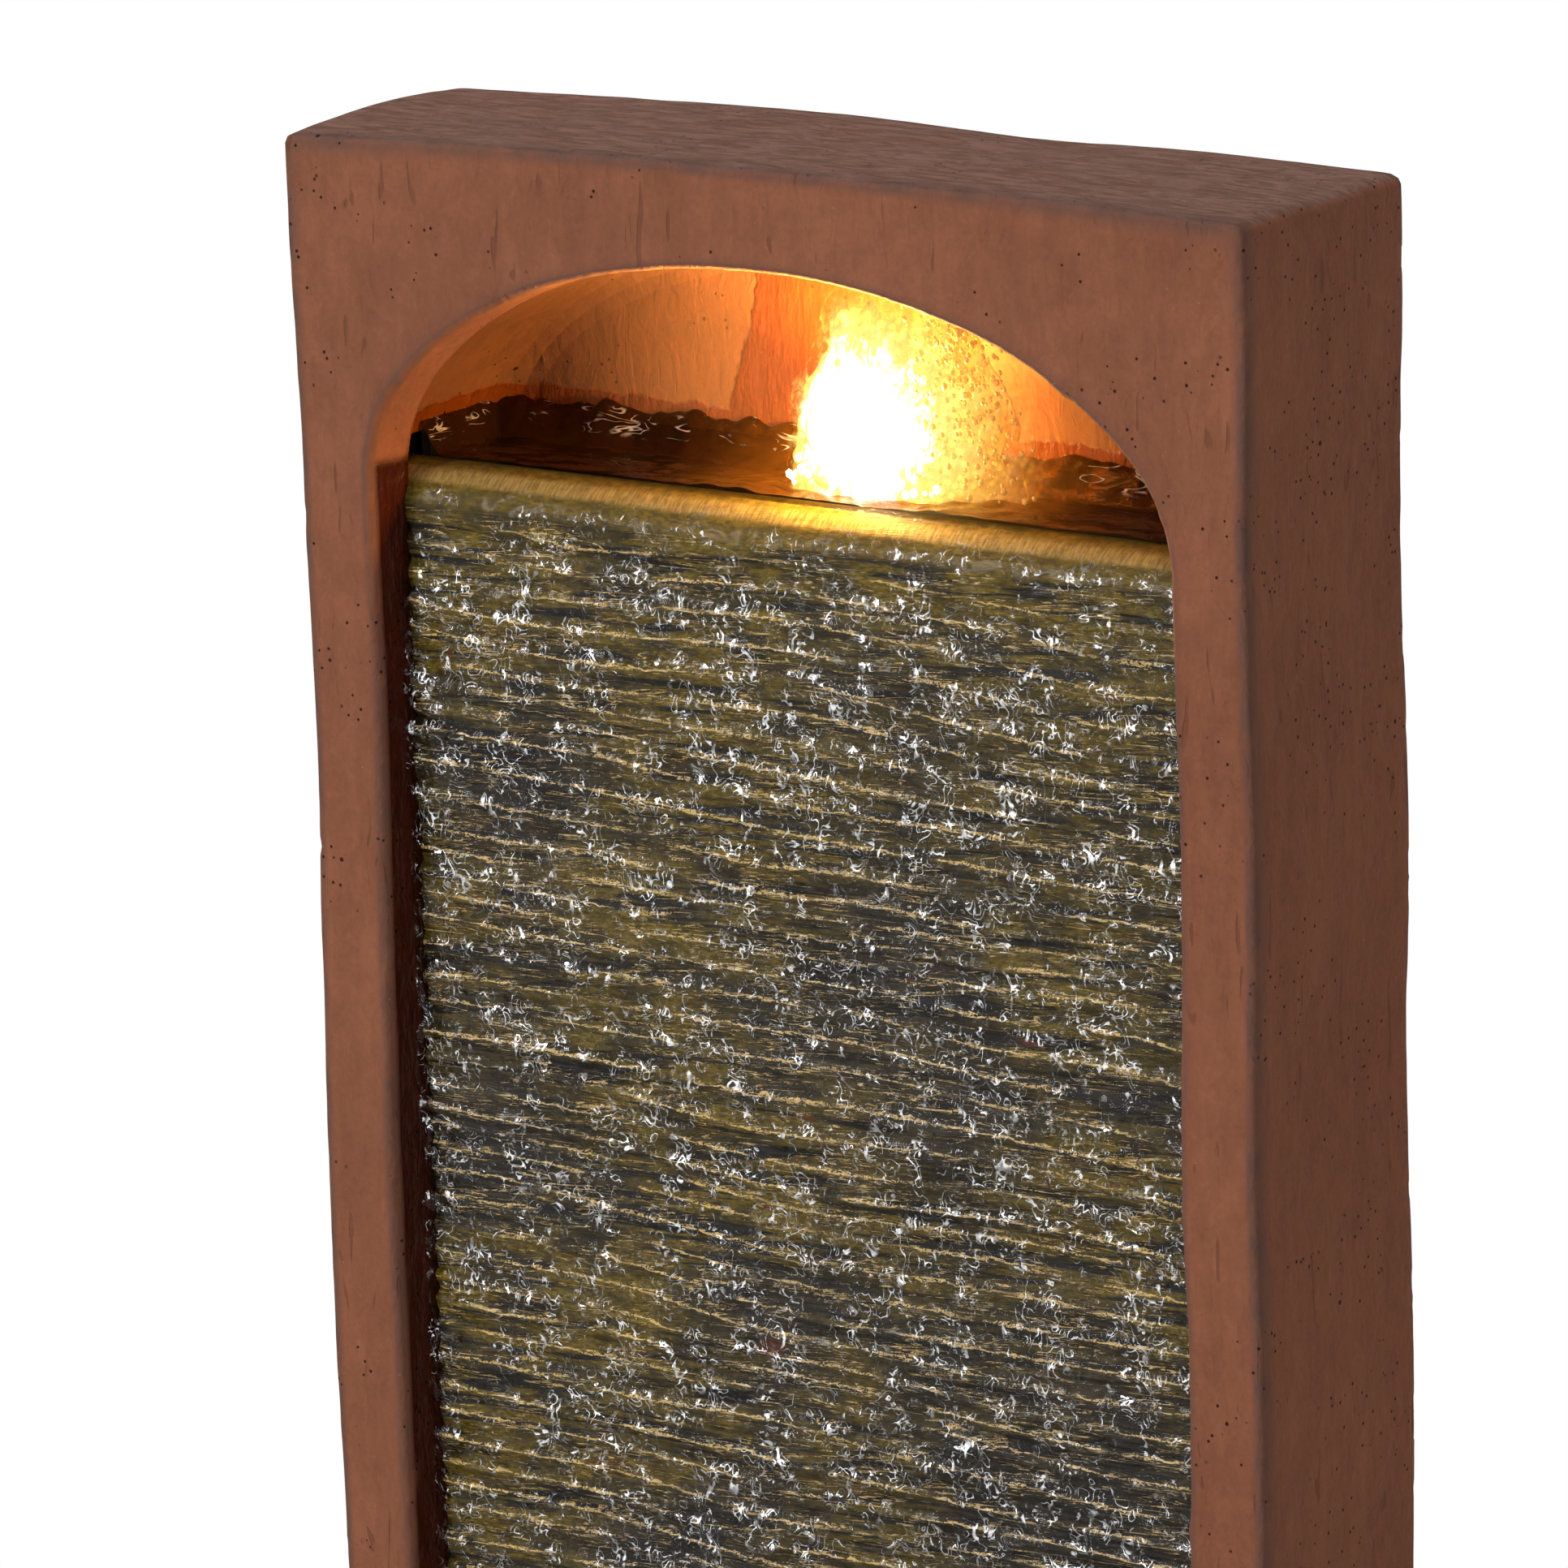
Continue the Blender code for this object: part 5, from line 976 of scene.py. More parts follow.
def put_in_scene(name: str, data: bpy.types.ID) -> bpy.types.Object:
    """Makes an object and links it to the scene.

    Args:
        name: the object's name.
        data: its mesh, lamp or camera.

    Returns:
        The new object.
    """
    thing = bpy.data.objects.new(name, data)
    bpy.context.scene.collection.objects.link(thing)
    return thing


def piece_from(name: str, bm: bmesh.types.BMesh, finish: bpy.types.Material) -> bpy.types.Object:
    """Makes an object at the origin from a finished bmesh.

    Args:
        name: the piece's name.
        bm: its mesh, which is freed.
        finish: its material.

    Returns:
        The new object.
    """
    mesh = bpy.data.meshes.new(name)
    bm.to_mesh(mesh)
    bm.free()
    mesh.materials.append(finish)
    mesh.shade_smooth()
    return put_in_scene(name, mesh)


def settle(piece: bpy.types.Object, body: str) -> bpy.types.Object:
    """Lets a piece ride on a body.

    Args:
        piece: the piece.
        body: the body's name.

    Returns:
        The same piece.
    """
    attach(piece, body)
    LOG.info("%s: %d faces on %s", piece.name, len(piece.data.polygons), body)
    return piece


class GridPiece:
    """A surface made by bending a flat grid over a shape."""

    def __init__(self, columns: int, rows: int) -> None:
        """Makes the grid and reads each vertex's place in it, from 0 to 1 each way.

        Args:
            columns: steps across.
            rows: steps up.
        """
        self.bm = bmesh.new()
        bmesh.ops.create_grid(self.bm, x_segments=columns, y_segments=rows, size=0.5)
        flat = np.array([v.co[:] for v in self.bm.verts])
        span = flat.max(axis=0) - flat.min(axis=0)
        self.u = (flat[:, 0] - flat[:, 0].min()) / span[0]
        self.v = (flat[:, 1] - flat[:, 1].min()) / span[1]
        self.column = np.rint(self.u * columns).astype(int)
        self.row = np.rint(self.v * rows).astype(int)

    def bend(self, points: np.ndarray, **marks: np.ndarray) -> None:
        """Moves the vertices and stores numbers on them.

        Args:
            points: the vertices' new places.
            marks: float attributes by name.
        """
        for vertex, point in zip(self.bm.verts, points):
            vertex.co = point
        for name, values in marks.items():
            layer = self.bm.verts.layers.float.new(name)
            for vertex, value in zip(self.bm.verts, values):
                vertex[layer] = value

    def close(self) -> None:
        """Welds the seam, fills the open ends and turns the faces outwards."""
        bmesh.ops.remove_doubles(self.bm, verts=self.bm.verts, dist=1e-6)
        rim = [edge for edge in self.bm.edges if edge.is_boundary]
        bmesh.ops.holes_fill(self.bm, edges=rim, sides=0)
        bmesh.ops.recalc_face_normals(self.bm, faces=self.bm.faces)

    def as_water(
        self, name: str, finish: bpy.types.Material, towards: Optional[Triple] = None
    ) -> bpy.types.Object:
        """Finishes an open sheet of water.

        Args:
            name: the piece's name.
            finish: its material.
            towards: the way that its faces look.

        Returns:
            The sheet.
        """
        bmesh.ops.recalc_face_normals(self.bm, faces=self.bm.faces)
        piece = piece_from(name, self.bm, finish)
        if towards and sum(p.normal.dot(towards) * p.area for p in piece.data.polygons) < 0.0:
            piece.data.flip_normals()
        return settle(piece, "root")


@dataclass
class CastFrame:
    """The arch frame's fine mesh: a hand-cast bar that runs up one leg, over and down."""

    half: float = 0.200
    margin: float = 0.0305
    crown: float = 0.0035
    corner: float = 0.004
    front_round: float = 0.0025
    back_round: float = 0.0025
    front_wall: float = 0.020
    side_wall: float = 0.018
    rebate_width: float = 0.010
    rebate_depth: float = 0.006
    arch_band: float = 0.037
    arch_rise: float = 0.091
    arch_round: float = 0.0030
    leg_steps: int = 210
    head_steps: int = 240
    side_steps: int = 26
    wall_steps: int = 20
    reveal_steps: int = 7
    wet_top: float = 0.880
    wet_blend: float = 0.004
    left_sway: Pair = (0.0014, 0.43)
    right_sway: tuple[float, float, float] = (0.0007, 0.0009, 0.20)
    reveal_draft: float = 0.0040
    top_bow: float = 0.0028
    top_dip: float = 0.0022
    slow_dents: Pair = (0.00042, 0.07)
    quick_dents: Pair = (0.00016, 0.014)
    foot_blend: float = 0.03
    sway_zone: Pair = (0.12, 0.19)
    haunch: Pair = (0.02, 0.165)
    head_zone: Pair = (0.012, 0.004)
    bow_place: Pair = (-0.2, 0.045)
    dip_place: Pair = (0.06, 0.05)
    chip_depth: float = 0.0022
    chip_size: float = 0.009
    chip_level: float = 0.55
    gouge_depth: float = 0.0016
    gouge_left: Pair = (0.004, 0.008)
    gouge_right: Pair = (0.020, 0.026)
    gouge_width: Pair = (0.0006, 0.0024)
    gouge_line: Triple = (0.009, 0.12, 0.012)
    tone: Triple = (0.258, 0.096, 0.051)
    noise: ValueNoise = field(default_factory=lambda: ValueNoise(3))

    def build(self, effects: Effects) -> bpy.types.Object:
        """Makes the frame and hides the plain casting.

        Args:
            effects: the shared shader groups.

        Returns:
            The frame.
        """
        finish = CastFinish("casting", self.tone).build(effects)
        low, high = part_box("frame_shell")
        self.front, self.back = low[1], high[1]
        self.foot, self.top = low[2], high[2]
        self.spring = self.top - self.arch_band - self.arch_rise
        section, route = self._section(), self._route()
        grid = GridPiece(len(route) - 1, len(section) - 1)
        inset, share, depth, offset, worn, hidden = section[grid.row].T
        outer, arch, inward = np.split(route[grid.column], 3, axis=1)
        aim = arch - outer
        aim /= np.linalg.norm(aim, axis=1)[:, None]
        outer = outer + inward * inset[:, None]
        arch = arch - aim * offset[:, None]
        x, z = (outer * (1.0 - share[:, None]) + arch * share[:, None]).T
        z = np.where(np.isin(grid.column, (0, len(route) - 1)), self.foot, np.maximum(z, self.foot))
        points, wet = self._weather(stack(x, depth, z), share, worn, hidden)
        grid.bend(points, edge=worn, wet=wet)
        grid.close()
        piece = piece_from("arch_frame", grid.bm, finish)
        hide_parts("frame_shell")
        return settle(piece, "root")

    def _section(self) -> np.ndarray:
        """The bar's closed section.

        Returns:
            Rows of inset from the outer outline, share towards the arch, depth, offset from the
            arch, wear, and how far the row is out of sight.
        """
        front, back = self.front, self.back
        r, e, b = self.front_round, self.arch_round, self.back_round
        rows = []
        for i in range(self.side_steps + 1):
            depth = back - b + (front + r - back + b) * i / self.side_steps
            worn = {0: 1.0, 1: 0.45}.get(self.side_steps - i, 0.0)
            rows.append((0.0, 0.0, depth, 0.0, worn, 0.0))
        for x, y in quarter_turn(5):
            rows.append((r * x, 0.0, front + r * y, 0.0, 1.0, 0.0))
        for i in range(1, self.wall_steps + 1):
            worn = 0.4 if i in (1, self.wall_steps) else 0.0
            rows.append((r, i / self.wall_steps, front, e, worn, 0.0))
        for x, y in quarter_turn(6):
            rows.append((r, 1.0, front + e * x, e * y, 0.8, 0.0))
        for i in range(1, self.reveal_steps + 1):
            share = i / self.reveal_steps
            rows.append((r, 1.0, front + e + (self.front_wall - e) * share, 0.0, 0.0, share))
        rebate, floor = self.side_wall - self.rebate_width, back - self.rebate_depth
        rows += [
            (self.side_wall, 0.0, front + self.front_wall, 0.0, 0.0, 1.0),
            (self.side_wall, 0.0, floor, 0.0, 0.0, 1.0),
            (rebate, 0.0, floor, 0.0, 0.0, 1.0),
            (rebate, 0.0, back, 0.0, 0.0, 0.6),
            (b, 0.0, back, 0.0, 0.7, 0.2),
            (b * 0.3, 0.0, back - b * 0.3, 0.0, 0.9, 0.0),
            (0.0, 0.0, back - b, 0.0, 0.5, 0.0),
        ]
        return np.array(rows)

    def _route(self) -> np.ndarray:
        """The way along the bar.

        Returns:
            Rows of the outer point, the arch point and the inward direction, across and up.
        """
        opening = self.half - self.margin
        legs = np.linspace(self.foot, self.spring, self.leg_steps, endpoint=False)
        route = [(-self.half, z, -opening, z, 1.0, 0.0) for z in legs]
        for i in range(self.head_steps + 1):
            angle = math.pi * i / self.head_steps
            arch = (-opening * math.cos(angle), self.spring + self.arch_rise * math.sin(angle))
            point, inward = self._head(i / self.head_steps)
            route.append((*point, *arch, *inward))
        route += [(self.half, z, opening, z, -1.0, 0.0) for z in legs[::-1]]
        return np.array(route)

    def _head(self, t: float) -> tuple[Pair, Pair]:
        """The outer outline from the left spring line over to the right one.

        Args:
            t: the share of the way, from 0 to 1.

        Returns:
            The point and its inward direction.
        """
        side = self.top - self.spring - self.crown - self.corner
        turn = self.corner * QUARTER
        total = 2 * side + 2 * turn + 2 * (self.half - self.corner)
        along = min(t * total, total - t * total)
        if along <= side:
            x, z, inward = -self.half, self.spring + along, (1.0, 0.0)
        elif along <= side + turn:
            angle = (along - side) / self.corner
            inward = (math.cos(angle), -math.sin(angle))
            x = -self.half + self.corner - self.corner * inward[0]
            z = self.spring + side - self.corner * inward[1]
        else:
            x = -self.half + self.corner + (along - side - turn)
            z, inward = self.top - self.crown * (x / self.half) ** 2, (0.0, -1.0)
        mirror = -1.0 if t * total > total / 2 else 1.0
        return (mirror * x, z), (mirror * inward[0], inward[1])

    def _weather(
        self, points: np.ndarray, share: np.ndarray, worn: np.ndarray, hidden: np.ndarray
    ) -> tuple[np.ndarray, np.ndarray]:
        """Bends the clean form as a hand-made casting is, and marks what is wet.

        Args:
            points: the clean places.
            share: how far each vertex is towards the arch, from 0 to 1.
            worn: how worn it is.
            hidden: how far it is out of sight.

        Returns:
            The bent places and the wet marks.
        """
        clean = points.copy()
        x, y, z = clean.T
        above_foot = smoothstep(z, self.foot, self.foot + self.foot_blend)
        reach = (1.0 - hidden) * above_foot
        turns = 2 * math.pi * (self.top - z)
        size, length = self.left_sway
        points[:, 0] -= reach * smoothstep(-x, *self.sway_zone) * size * np.cos(turns / length)
        rest, size, length = self.right_sway
        sway = rest + size * np.sin(turns / length + 0.6)
        points[:, 0] += reach * smoothstep(x, *self.sway_zone) * sway

        depth = smoothstep(y, self.front + 0.001, self.front + self.front_wall)
        inner = above_foot * smoothstep(share, 0.35, 1.0)
        haunch = smoothstep(-x, *self.haunch)
        points[:, 0] += inner * haunch * (self.reveal_draft * depth - 0.0004)
        bend = self.noise.at(stack(x * 4.0, 0.0, z), (0.05,) * 3)
        points[:, 0] += inner * (1.0 - depth) * 0.0006 * bend

        head = smoothstep(z, *(self.top - depth for depth in self.head_zone))
        inside = (y - self.front) / (self.back - self.front)
        bow = self.top_bow * hill(x, *self.bow_place) * np.sin(math.pi * inside)
        dip = self.top_dip * hill(x, *self.dip_place) * smoothstep(inside, 0.4, 1.0)
        points[:, 2] += reach * head * (bow - dip)
        for (size, length), starts in (
            (self.slow_dents, (0.0, 5.1, 9.7)),
            (self.quick_dents, (2.0, 6.3, 8.9)),
        ):
            dents = [self.noise.layered(clean + start, (length,) * 3, 2) for start in starts]
            points += reach[:, None] * size * np.column_stack(dents)

        chips = self.noise.layered(clean * (1.0, 1.0, 0.8), (self.chip_size,) * 3, 2)
        toward = (np.array((0.0, (self.front + self.back) / 2, 0.5)) - clean) * (1.0, 1.0, 0.2)
        toward /= np.linalg.norm(toward, axis=1)[:, None]
        chipped = reach * worn * np.clip(chips - self.chip_level, 0.0, 1.0)
        points += chipped[:, None] * toward * self.chip_depth
        gouge = smoothstep(x, *self.gouge_left) * (1 - smoothstep(x, *self.gouge_right))
        behind, slope, middle = self.gouge_line
        aside = np.abs(y - self.front - behind - slope * (x - middle))
        gouge *= 1 - smoothstep(aside, *self.gouge_width)
        points[:, 2] -= reach * head * gouge * self.gouge_depth
        points[:, 2] = np.minimum(points[:, 2], self.top)

        ragged = 0.07 * self.noise.layered(clean, (0.018,) * 3, 3)
        level = z + 0.02 * ragged
        low_enough = 1.0 - smoothstep(level, self.wet_top - self.wet_blend, self.wet_top)
        on_reveal = (hidden > 0.0) & (share > 0.5)
        return points, smoothstep(hidden + ragged, 0.02, 0.13) * low_enough * on_reveal


@dataclass
class Cascade:
    """The layered panel and the water film that runs over it."""

    pitch: float = 0.0102
    relief: float = 0.0062
    proud: float = 0.003
    lip_radius: float = 0.014
    lip_length: float = 0.0205
    flange_drop: float = 0.0035
    flange: float = 0.007
    thickness: float = 0.010
    opening: float = 0.1695
    margin: float = 0.0012
    slant: float = 0.035
    wander: float = 0.0042
    nose: float = 0.68
    seed: int = 41
    film_thickness: float = 0.0012
    film_least: float = 0.0003
    film_gap: float = 0.0004
    film_overrun: float = 0.006
    film_seam: float = 0.47
    upper_steps: tuple[int, int] = (250, 310)
    lower_steps: tuple[int, int] = (150, 180)
    columns: int = 112
    rows: int = 830
    noise: ValueNoise = field(default_factory=lambda: ValueNoise(17))
    ripples: ValueNoise = field(default_factory=lambda: ValueNoise(29))

    def build(self, effects: Effects) -> None:
        """Builds the panel and the water over it, in two stretches.

        Args:
            effects: the shared shader groups.
        """
        self.measure()
        slate = SlateFinish("wet_slate", self.top, self.face + self.thickness)
        self.build_panel(slate.build(effects))
        film = FilmFinish("running_water", self.top).build(effects)
        for name, span, steps in (
            ("water_film_upper", (self.film_seam, self.top), self.upper_steps),
            ("water_film_lower", (Pool.level, self.film_seam), self.lower_steps),
        ):
            self.build_film(name, span, steps, film)

    def measure(self) -> None:
        """Reads the panel's place from the construction."""
        low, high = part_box("cascade_panel")
        self.half, self.rear = high[0], high[1]
        self.foot, self.top = low[2], high[2]
        self.lip_foot = self.top - self.lip_radius
        self.face = self.rear - self.lip_length
        self.centre = self.face + self.lip_radius
        self.edge = self.opening - self.margin
        self.ledges = self._ledges()

    def _ledges(self) -> np.ndarray:
        """The beds, drawn as the construction draws them.

        Returns:
            Rows of a bed's foot, its height and how far its nose stands out.
        """
        draw = random.Random(self.seed)
        low = self.foot + self.pitch * 0.6
        high = self.lip_foot - self.pitch * 0.4
        weights = [draw.uniform(0.68, 1.36) for _ in range(round((high - low) / self.pitch))]
        share = (high - low) / sum(weights)
        ledges = []
        z = low
        for weight in weights:
            ledges.append((z, weight * share, self.relief * draw.uniform(0.36, 1.0)))
            z += weight * share
            for _ in range(3):  # the construction draws three more numbers for each bed
                draw.random()
        return np.array(ledges)

    def beds(self, x: np.ndarray, z: np.ndarray) -> tuple[np.ndarray, np.ndarray]:
        """The beds' relief and how far each place is above its bed's crest.

        Args:
            x: places across the panel.
            z: heights.

        Returns:
            Relief and height above the crest.
        """
        place = stack(x, 0.0, z)
        level = z + self.slant * x
        level = level + self.wander * self.noise.layered(place, (0.11, 1.0, 0.045), 2)
        index = np.searchsorted(self.ledges[:, 0], level) - 1
        foot, height, shelf = self.ledges[np.clip(index, 0, len(self.ledges) - 1)].T
        share = np.clip((level - foot) / height, 0.0, 1.0)
        rise = np.clip(share / self.nose, 0.0, 1.0)
        fall = np.clip((1.0 - share) / (1.0 - self.nose), 0.0, 1.0)
        patchy = 0.72 + 0.28 * self.noise.at(place, (0.060, 1.0, 0.012))
        relief = shelf * np.minimum(rise**0.8, fall**0.7) * patchy + 0.12 * shelf
        return relief, (share - self.nose) * height

    def build_panel(self, finish: bpy.types.Material) -> bpy.types.Object:
        """Makes the fine panel and hides the plain one.

        Args:
            finish: its material.

        Returns:
            The panel.
        """
        section = self._section()
        grid = GridPiece(self.columns, len(section) - 1)
        x = self._stations(grid)
        y, z, face = section[grid.row].T
        clear = face * (1.0 - smoothstep(np.abs(x), self.edge - 0.0008, self.edge))
        relief, gap = self.beds(x, z)
        place = stack(x, 0.0, z)
        relief = relief + 0.0007 * self.noise.layered(place, (0.045, 1.0, 0.0030), 2)
        relief = relief + 0.0003 * self.noise.layered(place, (0.018, 1.0, 0.0016), 2)
        y = y - clear * np.clip(relief, 0.0, self.relief * 1.2)
        near = clear * (1.0 - smoothstep(np.abs(gap), 0.0013, 0.0022))
        grid.bend(stack(x, y, z), crest_gap=gap * 1000.0, crest_near=near)
        grid.close()
        piece = piece_from("slate_cascade", grid.bm, finish)
        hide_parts("cascade_panel")
        return settle(piece, "root")

    def _stations(self, grid: GridPiece) -> np.ndarray:
        """Places across the panel, with a flat flange at each side.

        Args:
            grid: the panel's grid.

        Returns:
            Each vertex's place.
        """
        inner = np.clip((grid.u * self.columns - 2) / (self.columns - 4), 0.0, 1.0)
        x = -self.edge + 2 * self.edge * inner
        for column, place in ((0, self.half), (1, self.edge + self.margin)):
            x = np.where(grid.column == column, -place, x)
            x = np.where(grid.column == self.columns - column, place, x)
        return x

    def _section(self) -> np.ndarray:
        """The panel's closed section.

        Returns:
            Rows of depth, height and how much relief the row takes.
        """
        rows = []
        for z in np.linspace(self.foot, self.lip_foot, self.rows + 1):
            share = min(1.0, (self.lip_foot - z) / 0.010)
            rows.append((self.face - self.proud * (1.0 - share), z, share))
        for i in range(1, 15):
            share = i / 14
            reach = self.lip_radius + self.proud * (1.0 - share)
            height = self.lip_foot + self.lip_radius * math.sin(QUARTER * share)
            rows.append((self.centre - reach * math.cos(QUARTER * share), height, 0.0))
        for i in range(1, 5):
            y = self.centre + (self.rear - self.centre) * i / 4
            rows.append((y, self.top - self.flange_drop * i / 4, 0.0))
        back, underside = self.face + self.thickness, self.top - self.flange_drop - self.flange
        rows += [(self.rear, underside, 0.0), (back, underside, 0.0)]
        return np.array(rows + [(back, self.foot, 0.0), (self.face, self.foot, 1.0)])

    def build_film(
        self, name: str, span: Pair, steps: tuple[int, int],
        finish: bpy.types.Material,
    ) -> bpy.types.Object:
        """Makes a stretch of the running water.

        Args:
            name: the piece's name.
            span: its lower and upper height. Above the lip's foot it follows the lip.
            steps: steps across and along.
            finish: its material.

        Returns:
            The film.
        """
        grid = GridPiece(*steps)
        x = (2 * grid.u - 1) * (self.edge - self.film_gap)
        low, upper = span
        straight = min(upper, self.lip_foot) - low
        arc = QUARTER * self.lip_radius
        along = grid.v * (straight + (arc + self.film_overrun if upper > self.lip_foot else 0.0))
        z = low + np.minimum(along, straight)
        past = np.clip(along - straight, 0.0, None)
        angle = np.minimum(past / self.lip_radius, QUARTER)
        beyond = np.clip(past - arc, 0.0, None)
        relief, _ = self.beds(x, z)
        fade = np.clip((self.lip_foot - z) / 0.030, 0.0, 1.0)
        place = stack(x, 0.0, low + along)
        swell = self.ripples.layered(place, (0.018, 1.0, 0.022), 2)
        wave = self.ripples.at(place + 3.0, (0.0062, 1.0, 0.0056))
        curl = np.abs(self.ripples.at(place + 7.0, (0.0095, 1.0, 0.0075)))
        lift = (0.0006 * wave + 0.0012 * curl) * (0.08 + 0.92 * fade)
        lift = np.maximum(self.film_thickness + 0.0004 * swell + lift, self.film_least)
        stand = self.face - self.proud - (0.30 * relief + 0.0012) * fade
        reach = self.lip_radius + self.proud * (1.0 - angle / QUARTER) + lift
        over = past > 0.0
        y = np.where(over, self.centre - reach * np.cos(angle) + beyond, stand - lift)
        z = np.where(over, self.lip_foot + (self.lip_radius + lift) * np.sin(angle), z)
        grid.bend(stack(x, y, z))
        return grid.as_water(name, finish, (0.0, -1.0, 0.0))


@dataclass
class Spout:
    """The trough's water, the lit foaming spout and its droplets."""

    centre: Triple = (0.0135, 0.0647, 0.8745)
    level: float = 0.8768
    lean: float = math.radians(24.0)
    trough_half: float = 0.1722
    trough_wall: float = 0.0034
    under_lip: float = 0.010
    rise_at_wall: float = 0.0125
    ring_waves: float = 520.0
    ring_reach: float = 0.045
    chop: float = 0.0009
    steps: tuple[int, int] = (260, 60)
    well: Triple = (0.018, 0.005, 0.001)
    well_clarity: float = 0.15
    # The painted glow of the spout's light on the trough's water, and how far it reaches.
    well_painted_glow: Triple = (0.62, 0.15, 0.006)
    well_painted_glow_reach: float = 0.095
    glint_rise: float = 0.003
    heart: Pair = (0.004, 0.024)
    light: Triple = (0.002, -0.014, 0.020)
    light_up: float = 30.0
    light_around: float = 3.8
    spray_seed: int = 23
    spray_count: int = 420
    spray_across: Triple = (0.024, 0.078, 0.056)
    spray_toward: Pair = (0.006, 0.022)
    spray_up: Pair = (0.004, 0.070)
    spray_radius: Pair = (0.0004, 0.0012)
    spray_strength: float = 2.6
    spark_seed: int = 31
    spark_count: int = 24
    spark_across: Pair = (-0.030, 0.034)
    spark_toward: Pair = (0.015, 0.021)
    spark_radius: Pair = (0.0007, 0.0018)
    spark_strength: float = 8.0
    spark_yellow: Triple = (0.8, 0.7, 0.35)
    noise: ValueNoise = field(default_factory=lambda: ValueNoise(11))
    # Each layer's name, half width, depth and height, shift to the right, seed, light and cover.
    LAYERS = (
        ("mist", (0.056, 0.0170, 0.094), 0.016, 5, 3.5, 0.74),
        ("foam", (0.045, 0.0145, 0.080), 0.010, 8, 3.6, 0.60),
        ("core", (0.034, 0.0110, 0.062), 0.005, 12, 4.5, 0.90),
    )

    def build(self, effects: Effects, studio: Studio) -> None:
        """Builds the trough's water, the lit froth with its droplets and the light in it.

        Args:
            effects: the shared shader groups.
            studio: what places the light.
        """
        well = PoolFinish(
            "well_water", self.well, self.well_clarity, self.well_painted_glow, self.centre,
            self.well_painted_glow_reach, glints_above=self.level + self.glint_rise,
        )
        self.build_surface(well.build(effects))
        heart = (self.centre[0] + self.heart[0], 0.0, self.level + self.heart[1])
        for name, size, shift, seed, strength, cover in self.LAYERS:
            finish = GlowFinish(name, heart, strength, cover).build(effects)
            self.build_froth(f"spout_{name}", size, shift, seed, finish)
        beads = GlowFinish("spray", heart, self.spray_strength, 1.0, fades=False)
        self.build_drops("spout_spray", self.spray(), beads.build(effects))
        bright = GlowFinish(
            "sparks", heart, self.spark_strength, 1.0, fades=False, yellow=self.spark_yellow
        )
        self.build_drops("spout_sparks", self.sparks(), bright.build(effects))
        base = (*self.centre[:2], self.level)
        place = tuple(start + shift for start, shift in zip(base, self.light))
        studio.glow(place, self.light_up, self.light_around)

    def build_surface(self, finish: bpy.types.Material) -> bpy.types.Object:
        """Makes the water in the trough, from the lip to the niche's wall.

        Args:
            finish: its material.

        Returns:
            The water.
        """
        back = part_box("header_trough")[1][1]
        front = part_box("cascade_panel")[1][1] - self.under_lip
        grid = GridPiece(*self.steps)
        x = (2 * grid.u - 1) * self.trough_half
        y = front + (back - self.trough_wall - front) * grid.v
        place = stack(x, y, 0.0)
        gap = np.hypot(x - self.centre[0], y - self.centre[1])
        rings = np.sin(gap * self.ring_waves) * np.exp(-gap / self.ring_reach)
        chop = self.noise.layered(place, (0.013, 0.010, 1.0), 2)
        ragged = self.noise.layered(place * (1.0, 0.2, 1.0), (0.008, 1.0, 1.0), 2)
        against_back = smoothstep(y, back - 0.020, back - 0.004)
        against_end = smoothstep(np.abs(x), 0.158, 0.171)
        against = np.maximum(against_back, against_end)
        z = self.level + self.chop * chop + self.chop * rings
        grid.bend(stack(x, y, z + against * (self.rise_at_wall + 0.0022 * ragged)))
        return grid.as_water("trough_water", finish, (0.0, 0.0, 1.0))

    def build_froth(
        self, name: str, size: Triple, shift: float, seed: int, finish: bpy.types.Material
    ) -> bpy.types.Object:
        """Makes one open layer of froth, bulging to the front.

        Args:
            name: the piece's name.
            size: half width, depth and height.
            shift: how far its middle lies to the right of the spout.
            seed: the seed of its lumps.
            finish: its material.

        Returns:
            The layer.
        """
        width, deep, tall = size
        grid = GridPiece(90, 80)
        side, up = 2 * grid.u - 1, grid.v
        turn = side * QUARTER
        place = stack(turn * width, 0.0, up * tall)
        lumps = 1.0 + 0.13 * ValueNoise(seed).layered(place, (0.016, 1.0, 0.018), 3)
        girth = np.sqrt(np.clip(1.0 - up**2.2, 0.0, 1.0)) * (1.0 - 0.18 * up)
        across = np.sin(turn) * girth * lumps * width
        toward = np.cos(turn) * (0.35 + 0.65 * girth) * lumps * deep
        x = across * math.cos(self.lean) + toward * math.sin(self.lean)
        y = across * math.sin(self.lean) * 0.5 - toward * math.cos(self.lean)
        z = self.level - 0.003 + tall * up * (0.94 + 0.06 * lumps)
        fade = smoothstep(1.0 - np.abs(side), 0.0, 0.42) * smoothstep(1.0 - up, 0.0, 0.45)
        grid.bend(stack(self.centre[0] + shift + x, self.centre[1] + y, z), fade=fade)
        return grid.as_water(name, finish)

    def spray(self) -> list[tuple[Vector, float]]:
        """Droplets thrown off the spout, most of them on its right side.

        Returns:
            Their middles and radii.
        """
        draw = random.Random(self.spray_seed)
        drops = []
        for _ in range(self.spray_count):
            rise = draw.random() ** 0.8
            across = draw.triangular(*self.spray_across)
            x = self.centre[0] + across * (1.0 - 0.25 * rise)
            y = self.centre[1] - draw.uniform(*self.spray_toward)
            middle = Vector((x, y, self.level + self.spray_up[0] + self.spray_up[1] * rise))
            drops.append((middle, draw.uniform(*self.spray_radius)))
        return drops

